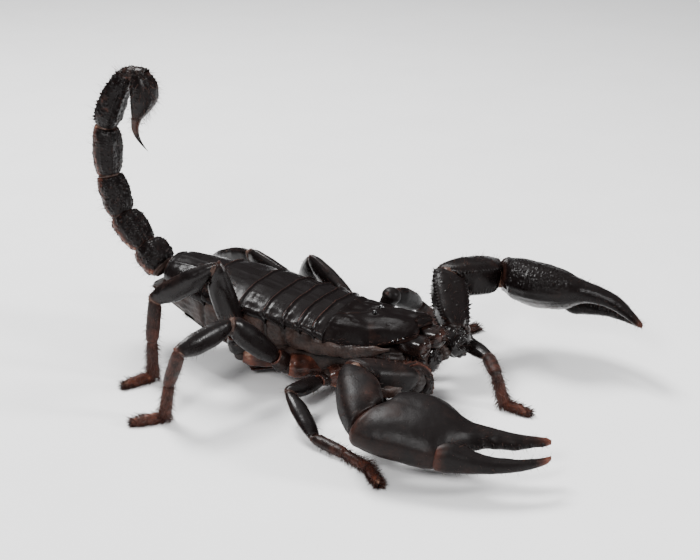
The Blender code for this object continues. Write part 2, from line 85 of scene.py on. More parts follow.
# (y, half width, bottom height, rearward lean of the bottom) of the soft belly
BELLY = (
    (-66.0, 12.0, 12.6, 0.0), (-56.0, 13.0, 10.6, 0.0), (-50.0, 13.2, 8.4, 0.0),
    (-46.0, 13.4, 5.6, 0.0), (-42.0, 13.8, 4.4, 0.0), (-34.0, 14.0, 5.0, 0.0),
    (-26.0, 13.2, 6.8, 0.0), (-18.0, 10.8, 10.8, 1.5), (-12.0, 8.6, 14.6, 4.0),
    (-8.6, 7.2, 17.2, 6.2), (-6.9, 6.2, 18.6, 7.9),
)
STERNITE_FRONT_Y = -46.4
STERNITE_LENGTHS = (7.6, 7.2, 7.0, 7.0, 9.0)
# (x, y, z, half across, half up) of the fold below the head shield's rim
PLEURAL_FOLD = (
    (13.0, -55.0, 17.0, 1.4, 2.9), (13.1, -62.5, 16.5, 1.5, 2.6), (12.5, -70.0, 16.4, 1.4, 2.1),
    (11.5, -76.0, 17.0, 1.2, 1.7), (10.9, -80.0, 17.8, 1.0, 1.3), (10.3, -83.6, 18.6, 0.4, 0.5),
)

TAIL_ROOT = (0.0, -1.6, 24.0)
TAIL_ROOT_CLIMB = 38
TAIL_LENGTHS = (8.6, 11.8, 12.6, 15.2, 19.2)
TAIL_CLIMBS = (43, 46, 71, 89, 117)
TAIL_HALF_DEEP = (5.3, 4.6, 4.4, 4.4, 3.9)
TAIL_HALF_WIDE = (5.2, 4.8, 4.4, 4.1, 3.8)
TAIL_LAST_BOW = 0.9
# (share of the length, scale of the half sizes)
TAIL_RING = ((0.0, 0.70), (0.1, 0.88), (0.34, 1.0), (0.66, 1.0), (0.88, 0.92), (1.0, 0.72))
TAIL_LAST_RING = ((0.0, 0.68), (0.08, 0.92), (0.24, 1.12), (0.5, 1.05), (0.8, 0.90), (1.0, 0.66))
BULB_LENGTH = 14.0
BULB_REACH = 5.5
# (share, half across, half deep, push forward) of the venom bulb
BULB = ((0.0, 2.4, 2.2, -0.7), (0.1, 3.2, 3.2, -0.2), (0.3, 3.8, 3.9, 0.4), (0.52, 3.8, 4.0, 0.2),
        (0.74, 3.0, 3.3, -0.8), (0.9, 2.2, 2.4, -1.9), (1.0, 1.6, 1.7, -2.7))
BULB_KEELS = (-60, -120, 60, 120)
STING_LENGTH = 9.6
STING_RADIUS = 1.55
# (share, tint) from the sting's brown base to its black point
STING_TINTS = ((0, 0.42), (0.1, 0.58), (0.45, 0.56), (0.7, 0.2), (1, 0.05))

# femur with trochanter, patella, tibia, basitarsus, telotarsus
LEG_LENGTHS = {
    1: (17.0, 15.5, 10.0, 9.0, 8.0), 2: (17.0, 17.0, 10.5, 9.5, 8.5),
    3: (24.0, 18.5, 11.5, 10.1, 9.0), 4: (27.5, 20.5, 13.0, 11.2, 9.6),
}
LEG_HALF_DEEP = {
    1: (2.5, 2.7, 2.1, 1.8, 1.45), 2: (2.6, 2.8, 2.0, 1.7, 1.4),
    3: (3.5, 3.4, 2.2, 1.9, 1.6), 4: (3.8, 3.6, 2.1, 1.85, 1.6),
}
LEG_FLATNESS = (0.66, 0.68, 0.82, 0.86, 0.9)
STOUT_LEGS = {("left", 2): 1.3, ("left", 3): 1.15}
VERY_STOUT = 1.2
ANKLE_Z = 1.5
TOE_Z = 0.9
# hip, then (bearing, climb) of the upper three segments, then bearings of the two foot segments
LEG_POSES = {
    ("right", 1): ((-11.6, -77.5, 8.0), ((-50, 4), (4, 13), (-20, -65)), (-40, 20)),
    ("right", 2): ((-12.6, -65.5, 7.2), ((-98, 5), (-35, -22), (-13, -4)), (-22, -43)),
    ("right", 3): ((-13.9, -53.0, 8.6), ((-119, 43), (-108, -9), (167, -67)), (-157, -135)),
    ("right", 4): ((-14.8, -38.5, 9.8), ((-129, 74), (-162, -31), (-171, -83)), (-141, -118)),
    ("left", 1): ((11.8, -77.5, 7.7), ((46, 11), (-31, -2), (-54, -3)), (-9, -8)),
    ("left", 2): ((14.6, -64.2, 7.4), ((32, 65), (84, -31), (67, -42)), (60, 60)),
    ("left", 3): ((15.7, -62.3, 15.4), ((164, 26), (130, -46), (140, -40)), (140, 150)),
    ("left", 4): ((15.9, -46.2, 16.4), ((170, 17), (157, -22), (150, -68)), (150, 140)),
}
COXA_ROOTS = {1: (1.6, -82.5, 9.0), 2: (1.8, -75.0, 8.2), 3: (2.4, -66.0, 7.6), 4: (2.8, -57.0, 6.8)}
# (share of the length, scale of the half sizes) of the leg's segments
TROCHANTER = ((0.0, 0.62), (0.3, 0.86), (0.7, 0.84), (1.0, 0.62))
FEMUR = ((0.0, 0.5), (0.1, 0.74), (0.4, 0.98), (0.6, 1.0), (0.86, 0.9), (1.0, 0.5))
STOUT_FEMUR = ((0.0, 0.5), (0.1, 0.74), (0.4, 0.95), (0.7, 1.0), (0.93, 1.05), (1.0, 0.9))
PATELLA = ((0.0, 0.42), (0.14, 0.76), (0.38, 1.0), (0.66, 0.98), (0.88, 0.78), (1.0, 0.5))
TIBIA = ((0.0, 0.7), (0.12, 0.96), (0.5, 1.0), (0.9, 0.92), (1.0, 0.72))
BASITARSUS = ((0.0, 0.66), (0.1, 0.9), (0.6, 0.94), (0.92, 1.0), (1.0, 0.8))
TELOTARSUS = ((0.0, 0.66), (0.12, 0.96), (0.5, 1.08), (0.85, 0.86), (1.0, 0.5))
TROCHANTER_SHARE = 0.2

# the right arm is smooth and satin, the left one granular; hand is (bearing, climb, roll)
PEDIPALPS = {
    "right": dict(root=(-10.8, -87.6, 12.0), femur=(-15.2, -91.7, 14.2), elbow=(-28.0, -82.4, 18.2),
                  wrist=(-44.4, -93.6, 13.3), hand=(25, -3, 14), opening=0, bow=0.0,
                  swell=(3.2, -1.4, -2.6), grain=0.1, satin=True, arch=((0, 0), (47.4, 0))),
    "left": dict(root=(11.4, -89.8, 11.0), femur=(16.8, -91.4, 16.4), elbow=(29.8, -82.4, 25.9),
                 wrist=(48.0, -92.4, 23.4), hand=(-10, -5.4, 26), opening=-9, bow=2.4,
                 swell=(2.2, -0.3, -0.8), grain=1.0, satin=False,
                 arch=((0, 0), (10, 0.3), (18, 1.2), (26, 2.0), (36, 1.3), (43, 0.4), (47.4, 0))),
}
# (share, half across, half deep) of the arm's segments
ARM_TROCHANTER = ((0.0, 3.0, 3.2), (0.25, 4.7, 5.0), (0.6, 4.9, 5.1), (0.85, 4.2, 4.4), (1.0, 2.4, 2.6))
ARM_FEMUR = ((0.0, 2.9, 3.1), (0.14, 4.1, 3.8), (0.4, 4.8, 4.1), (0.7, 5.1, 4.3), (0.88, 4.6, 4.2),
             (0.95, 3.8, 3.6), (1.0, 2.7, 2.6))
ARM_PATELLA = ((0.0, 2.6, 2.6), (0.05, 3.7, 3.6), (0.16, 4.8, 4.7), (0.36, 5.9, 5.4), (0.66, 6.0, 5.4),
               (0.88, 4.9, 4.7), (0.95, 4.1, 4.1), (1.0, 2.9, 3.1))
ARM_KEELS = (35, 145, -35, -145)
# along the hand: (distance, fixed finger's side, movable finger's side, half depth)
HAND_OUTLINE = (
    (-0.9, -3.3, 3.1, 3.2), (0.0, -4.9, 4.6, 4.3), (3.0, -8.8, 7.2, 5.4), (8.0, -11.2, 9.9, 6.4),
    (13.5, -11.5, 11.5, 6.7), (17.0, -10.8, 12.2, 6.4), (20.0, -9.3, 10.9, 5.9), (22.6, -7.2, 8.6, 5.0),
    (24.8, -4.8, 6.6, 4.2), (27.5, -3.0, 4.9, 3.3), (32.0, -1.8, 3.5, 2.6), (38.0, -0.5, 3.7, 2.1),
    (43.4, -0.2, 2.4, 1.4), (46.4, -0.2, 1.7, 1.0), (47.4, 0.2, 1.2, 0.6),
)
FINGER_HINGE = (22.8, 9.2)
FINGER_OUTLINE = (
    (17.2, 7.4, 11.4, 2.0), (18.6, 6.6, 12.6, 3.6), (21.6, 6.2, 12.6, 4.1), (25.2, 7.0, 13.0, 3.4),
    (28.3, 8.2, 13.2, 2.7), (32.6, 9.1, 13.1, 2.0), (38.0, 9.1, 12.1, 1.6), (43.2, 8.0, 10.2, 1.2),
    (46.4, 6.6, 8.3, 0.8), (47.2, 6.1, 7.2, 0.5),
)


# ------------------------------------------------------------------- maths
def unit(vector):
    """A vector scaled to length 1."""
    vector = np.asarray(vector, float)
    return vector / np.linalg.norm(vector)


def heading(bearing, climb):
    """Unit vector of a bearing and a climb in degrees."""
    turn, rise = math.radians(bearing), math.radians(climb)
    return (FORWARD * math.cos(turn) + LEFT * math.sin(turn)) * math.cos(rise) + UP * math.sin(rise)


def level_across(axis):
    """The level direction square to an axis, or LEFT for an upright one."""
    across = np.cross(axis, UP)
    return unit(across) if np.linalg.norm(across) > 0.05 else LEFT.copy()


def square_to(vector, axis):
    """The part of a vector that is square to an axis, scaled to length 1."""
    return unit(vector - axis * np.dot(vector, axis))


def facing(vector, way):
    """A vector or its opposite, whichever points more towards `way`."""
    return vector if np.dot(vector, way) > 0 else -vector


def mirrored(place, sign):
    """A place given for the left side, on the side that `sign` tells."""
    return np.array(place) * (sign, 1, 1)


def joint_planes(axes):
    """Normals of the planes that halve the bends between segments."""
    return [unit(a + b) for a, b in zip(axes, axes[1:])]


def angles(count, offset=0.5):
    """Evenly spaced angles of one turn, in radians."""
    return 2 * np.pi * (np.arange(count) + offset) / count


def smooth(table, x):
    """Read rows (x, values...) at x on a curve through them that never overshoots."""
    rows = np.array(table, float)
    knots, values = rows[:, 0], rows[:, 1:]
    pitch = np.diff(values, axis=0) / np.diff(knots)[:, None]
    product = pitch[:-1] * pitch[1:]
    total = np.where(product > 0, pitch[:-1] + pitch[1:], 1.0)
    slopes = np.vstack([pitch[:1], np.where(product > 0, 2 * product / total, 0.0), pitch[-1:]])
    x = np.asarray(x, float)
    i = np.clip(np.searchsorted(knots, x, side="right") - 1, 0, len(knots) - 2)
    width = (knots[i + 1] - knots[i])[..., None]
    t = np.clip((x - knots[i])[..., None] / width, 0, 1)
    start = (2 * t ** 3 - 3 * t ** 2 + 1) * values[i] + (t ** 3 - 2 * t ** 2 + t) * width * slopes[i]
    return start + (3 * t ** 2 - 2 * t ** 3) * values[i + 1] + (t ** 3 - t ** 2) * width * slopes[i + 1]


def step_up(x, low, high):
    """A straight climb from 0 at `low` to 1 at `high`, level beyond both."""
    return np.clip((x - low) / (high - low), 0, 1)


def bump(x, centre, width):
    """A bell of height 1."""
    return np.exp(-((x - centre) / width) ** 2)


def bumps(x, *rows):
    """A sum of bells, each given as (height, centre, width)."""
    return sum(height * bump(x, centre, width) for height, centre, width in rows)


def ridge(angle, degrees, width=9.0):
    """A bell round a section at an angle in degrees."""
    off = (np.degrees(angle) - degrees + 180) % 360 - 180
    return np.exp(-(off / width) ** 2)


def ridges(angle, *rows):
    """A sum of bells round a section, each given as (height, degrees, width)."""
    return sum(height * ridge(angle, degrees, width) for height, degrees, width in rows)


def chance(cells, seed):
    """A repeatable number from 0 to 1 for each whole-numbered cell."""
    c = cells.astype(np.int64)
    h = c[..., 0] * 374761393 + c[..., 1] * 668265263 + c[..., 2] * 1440662683 + seed * 974634777
    h = (h ^ (h >> 13)) * 1274126177
    h = h ^ (h >> 16)
    return (h & 0xFFFFFF) / 0xFFFFFF


def noise(points, size, seed=0):
    """Smooth noise from -1 to 1 with waves of about `size`."""
    q = points / size
    base = np.floor(q)
    t = q - base
    t = t * t * (3 - 2 * t)
    total = 0.0
    for corner in np.ndindex(2, 2, 2):
        step = np.array(corner)
        total = total + np.prod(np.where(step == 1, t, 1 - t), axis=-1) * chance(base + step, seed)
    return 2 * total - 1


def waves(points, *rows):
    """A sum of smooth noises, each given as (height, size, seed)."""
    return sum(height * noise(points, size, seed) for height, size, seed in rows)


def grains(points, size, fill=0.8, seed=0):
    """Height from 0 to 1 of rounded grains about `size` apart."""
    q = points / size
    base = np.floor(q)
    best = np.zeros(points.shape[:-1])
    for corner in np.ndindex(3, 3, 3):
        cell = base + np.array(corner) - 1
        place = np.stack([chance(cell, seed + k) for k in (1, 2, 3)], -1)
        radius = 0.32 + 0.2 * chance(cell, seed + 4)
        near = 1 - ((q - cell - 0.2 - 0.6 * place) ** 2).sum(-1) / radius ** 2
        best = np.maximum(best, np.where(chance(cell, seed + 5) < fill, near, 0))
    return np.sqrt(np.clip(best, 0, 1))


# --------------------------------------------------------------- materials
PATCH_SCALE, SPECK_SCALE, RIPPLE_SCALE = 210.0, 1500.0, 700.0      # waves in each metre
PATCH_STRENGTH, SPECK_STRENGTH = 0.55, 0.22
RIPPLE_DEPTH = 0.09 * MM
SMOOTHER, ROUGHER = 0.07, 0.09
COAT_ROUGHNESS = 0.16

BLACK = (0.0048, 0.0032, 0.0031)
UMBER = (0.014, 0.0072, 0.0058)
RUST = (0.048, 0.0175, 0.0125)
BRICK = (0.105, 0.034, 0.021)
TAN = (0.28, 0.155, 0.105)
STRAW = (0.22, 0.11, 0.075)
SLATE = (0.013, 0.0088, 0.0078)
BARK = (0.040, 0.0225, 0.0175)
CLAY = (0.11, 0.062, 0.044)
EYE_DARK, EYE_PALE = (0.002, 0.002, 0.003), (0.006, 0.004, 0.004)
# (tint, colour) of each kind of surface
SHELL = ((0.0, BLACK), (0.3, BLACK), (0.5, UMBER), (0.72, RUST), (0.9, BRICK), (1.0, TAN))
SOFT_SKIN = ((0.0, BLACK), (0.35, SLATE), (0.6, BARK), (0.8, CLAY), (1.0, TAN))
HAIR = ((0.0, UMBER), (0.5, RUST), (1.0, STRAW))
EYE = ((0.0, EYE_DARK), (1.0, EYE_PALE))
# name: colours, roughness, grain size and depth in mm, coat, specular level
FINISHES = {
    "shell": (SHELL, 0.30, 0.36, 0.05, 0.0, 0.12),
    "plate": (SHELL, 0.28, 0.30, 0.03, 0.0, 0.13),
    "shield": (SHELL, 0.38, 0.30, 0.04, 0.0, 0.032),
    "satin": (SHELL, 0.44, 0.36, 0.04, 0.0, 0.13),
    "leg": (SHELL, 0.28, 0.45, 0.03, 0.0, 0.22),
    "tarsus": (SHELL, 0.40, 0.22, 0.05, 0.0, 0.15),
    "skin": (SOFT_SKIN, 0.40, 0.55, 0.12, 0.0, 0.2),
    "sting": (SHELL, 0.2, 0.5, 0.01, 0.0, 0.25),
    "claw": (SHELL, 0.22, 0.5, 0.01, 0.0, 0.25),
    "wet": (SHELL, 0.20, 0.40, 0.02, 0.25, 0.14),
    "eye": (EYE, 0.1, 0.9, 0.002, 1.0, 0.3),
    "hair": (HAIR, 0.45, 0.3, 0.01, 0.0, 0.3),
}


def node(tree, kind, inputs=(), **settings):
    """Add a shader node, set its properties and its inputs' values or links."""
    made = tree.nodes.new(kind)
    for key, value in settings.items():
        setattr(made, key, value)
    for key, value in dict(inputs).items():
        if isinstance(value, bpy.types.NodeSocket):
            tree.links.new(value, made.inputs[key])
        else:
            made.inputs[key].default_value = value
    return made


def ramp(tree, factor, stops):
    """A colour ramp over stops (place, colour)."""
    made = node(tree, "ShaderNodeValToRGB", {"Fac": factor})
    elements = made.color_ramp.elements
    while len(elements) < len(stops):
        elements.new(0.5)
    for element, (place, colour) in zip(elements, stops):
        element.position = place
        element.color = (*colour, 1.0)
    return made.outputs["Color"]


def chitin(name, stops, roughness, grain_size, grain_depth, coat, specular):
    """Tint picks the colour, noise mottles it, and fine grains and ripples roughen it."""
    material = bpy.data.materials.new(name)
    material.use_nodes = True
    tree = material.node_tree
    shader = tree.nodes["Principled BSDF"]
    place = node(tree, "ShaderNodeTexCoord").outputs["Object"]
    tint = node(tree, "ShaderNodeAttribute", attribute_name="tint").outputs["Fac"]

    def cloud(scale, detail, rough=0.5):
        inputs = {"Vector": place, "Scale": scale, "Detail": detail, "Roughness": rough}
        return node(tree, "ShaderNodeTexNoise", inputs).outputs["Fac"]

    def result(operation, *values, clamp=False):
        made = node(tree, "ShaderNodeMath", enumerate(values), operation=operation, use_clamp=clamp)
        return made.outputs[0]

    patches = cloud(PATCH_SCALE, 5.0, 0.62)
    mottled = result("MULTIPLY_ADD", patches, PATCH_STRENGTH, tint)
    mottled = result("MULTIPLY_ADD", cloud(SPECK_SCALE, 3.0), SPECK_STRENGTH, mottled)
    mottled = result("SUBTRACT", mottled, (PATCH_STRENGTH + SPECK_STRENGTH) / 2, clamp=True)
    tree.links.new(ramp(tree, mottled, stops), shader.inputs["Base Color"])
    rough = node(tree, "ShaderNodeMapRange", {
        "Value": patches, "From Min": 0.3, "From Max": 0.7, "To Min": roughness - SMOOTHER,
        "To Max": roughness + ROUGHER})
    tree.links.new(rough.outputs["Result"], shader.inputs["Roughness"])
    cells = node(tree, "ShaderNodeTexVoronoi", {"Vector": place, "Scale": 1.0 / (grain_size * MM)})
    grain = node(tree, "ShaderNodeBump", {
        "Height": cells.outputs["Distance"], "Strength": 0.5, "Distance": grain_depth * MM}, invert=True)
    ripples = node(tree, "ShaderNodeBump", {
        "Height": cloud(RIPPLE_SCALE, 4.0), "Strength": 0.35, "Distance": RIPPLE_DEPTH,
        "Normal": grain.outputs["Normal"]})
    tree.links.new(ripples.outputs["Normal"], shader.inputs["Normal"])
    shader.inputs["Specular IOR Level"].default_value = specular
    shader.inputs["Coat Weight"].default_value = coat
    shader.inputs["Coat Roughness"].default_value = COAT_ROUGHNESS
    return material


MATERIALS = {name: chitin(name, *finish) for name, finish in FINISHES.items()}
eye_middle = sum((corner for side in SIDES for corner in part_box("eye_" + side)), Vector()) / 4
OFFSET = np.array([eye_middle.x, eye_middle.y - EYE_Y * MM, 0.0])


# ----------------------------------------------------------- mesh building
# (scale, way outwards) of the rings that roll an open end inwards
END_LIP = ((0.99, 0.10), (0.95, 0.17), (0.88, 0.12), (0.76, -0.12), (0.5, -0.4), (0.16, -0.5))


class Piece:
    """Gathers closed grids of points (x, y, z, tint) and makes one mesh object."""

    def __init__(self):
        self.points, self.quads, self.corners, self.total = [], [], [], 0

    def add(self, grid):
        """Add rings that close round; both ends are capped at a middle point."""
        rows, count = grid.shape[:2]
        ends = np.stack([grid[0].mean(0), grid[-1].mean(0)])
        index = np.arange(rows * count).reshape(rows, count)
        after = np.roll(index, -1, axis=1)
        quads = np.stack([index[:-1], after[:-1], after[1:], index[1:]], -1).reshape(-1, 4)
        first = np.stack([after[0], index[0], np.full(count, rows * count)], -1)
        last = np.stack([index[-1], after[-1], np.full(count, rows * count + 1)], -1)
        points = np.vstack([grid.reshape(-1, grid.shape[2]), ends])
        corners = np.vstack([first, last])
        faces = np.vstack([quads[:, :3], quads[:, [0, 2, 3]], corners])
        a, b, c = (points[faces[:, k], :3] - points[0, :3] for k in range(3))
        if np.einsum("ij,ij->i", a, np.cross(b, c)).sum() < 0:
            quads, corners = quads[:, ::-1], corners[:, ::-1]
        self.points.append(points)
        self.quads.append(quads + self.total)
        self.corners.append(corners + self.total)
        self.total += len(points)

    def close(self, points, tint, lip=1.0):
        """Add a grid whose two ends roll inwards; tint is one value or one for each point."""
        grid = np.concatenate([points, np.broadcast_to(tint, points.shape[:2])[..., None]], -1)

        def rolled(ring, inner):
            centre = ring.mean(0)
            outward = centre - inner.mean(0)
            outward[3] = 0
            outward = outward / (np.linalg.norm(outward) + 1e-12) * lip
            return [centre + (ring - centre) * size + outward * move for size, move in END_LIP]

        start = rolled(grid[0], grid[1])[::-1]
        self.add(np.concatenate([np.array(start), grid, np.array(rolled(grid[-1], grid[-2]))]))

    def build(self, name, material, slot, nodes=(), uv=None):
        """Make the object, in metres, riding on the body and standing for CAD nodes."""
        points = np.vstack(self.points)
        quads, corners = np.vstack(self.quads), np.vstack(self.corners)
        mesh = bpy.data.meshes.new(name)
        mesh.vertices.add(len(points))
        mesh.vertices.foreach_set("co", (points[:, :3] * MM + OFFSET).astype(np.float32).ravel())
        loops = np.concatenate([quads.ravel(), corners.ravel()])
        sizes = np.concatenate([np.full(len(quads), 4), np.full(len(corners), 3)])
        mesh.loops.add(len(loops))
        mesh.loops.foreach_set("vertex_index", loops.astype(np.int32))
        mesh.polygons.add(len(sizes))
        mesh.polygons.foreach_set("loop_start", (np.cumsum(sizes) - sizes).astype(np.int32))
        tint = mesh.attributes.new("tint", "FLOAT", "POINT")
        tint.data.foreach_set("value", points[:, 3].astype(np.float32))
        if uv is not None:
            layer = mesh.uv_layers.new(name="OFBake")
            layer.data.foreach_set("uv", uv[loops].astype(np.float32).ravel())
        mesh.update(calc_edges=True)
        mesh.validate()
        mesh.shade_smooth()
        mesh.materials.append(MATERIALS[material])
        piece = bpy.data.objects.new(name, mesh)
        bpy.context.scene.collection.objects.link(piece)
        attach(piece, "root")
        if nodes:
            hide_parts(*nodes)
        return piece


def normals_of(points):
    """Outward unit normals of a grid of rings."""
    along = np.gradient(points, axis=0)
    around = np.roll(points, -1, 1) - np.roll(points, 1, 1)
    normal = np.cross(along, around)
    normal /= np.linalg.norm(normal, axis=-1, keepdims=True) + 1e-12
    outward = points - points.mean(axis=1, keepdims=True)
    return normal if (outward * normal).sum() > 0 else -normal


def limb(start, end, profile, across, planes=(None, None), power=2.2, rows=70, count=64):
    """A grid round a limb segment; profile rows are (share, half across, half deep)."""
    start, end = np.array(start, float), np.array(end, float)
    length = np.linalg.norm(end - start)
    axis = (end - start) / length
    first, last = (axis if plane is None else plane for plane in planes)
    across = square_to(across, axis)
    rise = np.cross(axis, across)
    even = np.linspace(0, 1, rows)
    share = 0.25 - 0.25 * np.cos(np.pi * even) + 0.5 * even
    halves = smooth(profile, share)
    angle = angles(count)
    c, s = np.cos(angle), np.sin(angle)
    reach = (abs(c) ** power + abs(s) ** power) ** (-1 / power)
    offset = (across * (halves[:, :1] * (c * reach))[..., None]
              + rise * (halves[:, 1:2] * (s * reach))[..., None])
    near, far = step_up(share, 0.3, 0)[:, None], step_up(share, 0.7, 1)[:, None]
    plane = axis + near * (first - axis) + far * (last - axis)
    slide = (offset * plane[:, None, :]).sum(-1) / (plane @ axis)[:, None]
    points = start + axis * (length * share)[:, None, None] + offset - axis * slide[..., None]
    return SimpleNamespace(points=points, share=share[:, None] * np.ones(count), length=length,
                           angle=np.ones((rows, 1)) * angle, axis=axis, across=across, rise=rise)


def emboss(grid, height):
    """Raise a grid along its normals and keep those normals for hairs."""
    grid.normals = normals_of(grid.points)
    grid.points = grid.points + grid.normals * height[..., None]
    return grid


def thorn(piece, base, direction, length, radius, bend=(0, 0, 0), tint=0.3, tip_tint=None, rows=7, count=8):
    """A tapered, bent spine, tooth or claw."""
    share = np.linspace(0, 1, rows)
    axis = unit(direction)
    across = unit(np.cross(axis, UP + 0.31 * LEFT))
    rise = np.cross(axis, across)
    centre = np.array(base) + np.outer(share * length, axis) + np.outer(share ** 2 * length, bend)
    angle = angles(count, 0)
    ring = np.outer(np.cos(angle), across) + np.outer(np.sin(angle), rise)
    thick = radius * (1 - share ** 1.4) + 0.04 * radius
    points = centre[:, None] + ring[None] * thick[:, None, None]
    tints = tint + (0 if tip_tint is None else tip_tint - tint) * share
    piece.add(np.concatenate([points, np.broadcast_to(tints[:, None, None], (rows, count, 1))], -1))


def thorn_row(piece, grid, degrees, places, sink, lean, length, growth, radius, **shape):
    """Blunt thorns on the grid's rows `places` at one angle, of three lengths in turn."""
    column = int(degrees % 360 / 360 * grid.points.shape[1])
    for step, row in enumerate(places):
        normal = grid.normals[row, column]
        thorn(piece, grid.points[row, column] - normal * sink, normal + lean * grid.axis,
              length + growth * (step % 3), radius, tint=0.22, **shape)


def bead(piece, centre, halves, tint, rows=14, count=24, wrinkle=0.0, axes=(LEFT, FORWARD, UP)):
    """A closed ellipsoid, wrinkled where it is skin."""
    lat, lon = angles(2 * rows)[:rows], angles(count, 0)
    ball = np.stack([np.outer(np.sin(lat), np.cos(lon)), np.outer(np.sin(lat), np.sin(lon)),
                     np.outer(np.cos(lat), np.ones(count))], -1)
    size = 1 + wrinkle * np.sin(9 * lat)[:, None] + wrinkle * 0.7 * noise(ball * 3 + np.array(centre), 0.8)
    offset = sum((ball[..., k, None] * halves[k]) * np.array(axes[k]) for k in range(3))
    points = np.array(centre) + offset * size[..., None]
    piece.add(np.concatenate([points, np.full((rows, count, 1), tint)], -1))


def square_axes(first, along):
    """Three axes of a bead: one across, one square to both, and one along."""
    return first, np.cross(along, first), along


class Coat:
    """Gathers bristles; each has a small patch at its root's place on the skin's unwrap."""

    CELLS = 14
    PATCH = 0.003
    RING_SHARES = np.array([0.0, 0.35, 0.7, 1.0])
    RING_SIZES = np.array([1.0, 0.8, 0.5, 0.12])
    LOWEST = 0.03

    def __init__(self, seed):
        self.random = np.random.default_rng(seed)
        self.points, self.uv, self.cell = [], [], 0

    def grow(self, grid, number, length, radius, where=None, lie=0.35, lift=0.9, tint=0.5):
        """Root bristles on a grid, leaning along its axis, more where `where` is high."""
        rows, count = grid.points.shape[:2]
        weight = np.ones((rows, count)) if where is None else np.clip(where, 0, None) + 1e-9
        pick = self.random.choice(rows * count, number, p=(weight / weight.sum()).ravel())
        root = grid.points.reshape(-1, 3)[pick]
        normal = grid.normals.reshape(-1, 3)[pick]
        loose = self.random.normal(0, 0.22, (number, 3))
        direction = normal * lift + grid.axis * lie + loose
        direction /= np.linalg.norm(direction, axis=1, keepdims=True)
        self.stand(root - normal * 0.05, direction, length * self.random.uniform(0.5, 1.25, number),
                   radius * self.random.uniform(0.75, 1.2, number), tint,
                   np.stack([pick % count / count, pick // count / rows], -1))

    def stand(self, root, direction, length, radius, tint, place):
        """Three-sided tapered hairs of four rings from their roots."""
        number, share = len(root), self.RING_SHARES
        bend = self.random.normal(0, 0.16, (number, 3))
        centre = (root[:, None] + direction[:, None] * (length[:, None] * share)[..., None]
                  + bend[:, None] * (length[:, None] * share ** 2)[..., None])
        across = np.cross(direction, self.random.normal(0, 1, (number, 3)))
        across /= np.linalg.norm(across, axis=1, keepdims=True)
        rise = np.cross(direction, across)
        angle = angles(3, 0)
        ring = across[:, None] * np.cos(angle)[:, None] + rise[:, None] * np.sin(angle)[:, None]
        thick = radius[:, None] * self.RING_SIZES
        points = centre[:, :, None] + ring[:, None] * thick[..., None, None]
        points[..., 2] = np.maximum(points[..., 2], self.LOWEST)
        tints = np.clip(tint + self.random.normal(0, 0.12, number), 0, 1)[:, None, None, None]
        self.points.append(np.concatenate([points, np.broadcast_to(tints, points.shape[:3] + (1,))], -1))
        cell = np.array([self.cell % self.CELLS, self.cell // self.CELLS])
        corner = (cell + 0.04 + 0.92 * place) / self.CELLS
        patch = np.stack(np.meshgrid(share, angle / (2 * np.pi), indexing="ij"), -1) * self.PATCH
        self.uv.append(np.clip(corner[:, None, None] + patch, 0, 1))
        self.cell += 1

    def build(self, name):
        """Make one mesh of all the bristles."""
        points = np.concatenate(self.points)
        uv = np.concatenate(self.uv).reshape(-1, 2)
        index = np.arange(len(points) * 12).reshape(-1, 4, 3)
        after = np.roll(index, -1, axis=2)
        piece = Piece()
        piece.points = [points.reshape(-1, 4)]
        quads = np.stack([index[:, :-1], after[:, :-1], after[:, 1:], index[:, 1:]], -1)
        piece.quads = [quads.reshape(-1, 4)]
        piece.corners = [index[:, 3], index[:, 0, ::-1]]
        return piece.build(name, "hair", "red_tarsus", uv=uv)


# ------------------------------------------------------------------- trunk
def back_point(y, turn, lift=0.0, grow=0.0):
    """Points of the back's arch; turn runs from pi at the right edge to 0 at the left."""
    half, edge, top = np.moveaxis(smooth(BACK, y), -1, 0)
    x = (half + grow) * np.cos(turn)
    z = edge + (top - edge) * np.sin(turn) ** 0.8 + lift
    return np.stack(np.broadcast_arrays(x, y, z), -1)


def close_plate(piece, shape, tint, depth, narrow, under_tint, lip):
    """Close a plate's outer sheet with an inner face `depth` below it and narrower."""
    under = shape[:, ::-1][:, 1:-1].copy()
    under[..., 2] -= depth
    under[..., 0] *= narrow
    tints = np.concatenate([tint, np.full(under.shape[:2], under_tint)], 1)
    piece.close(np.concatenate([shape, under], 1), tints, lip)


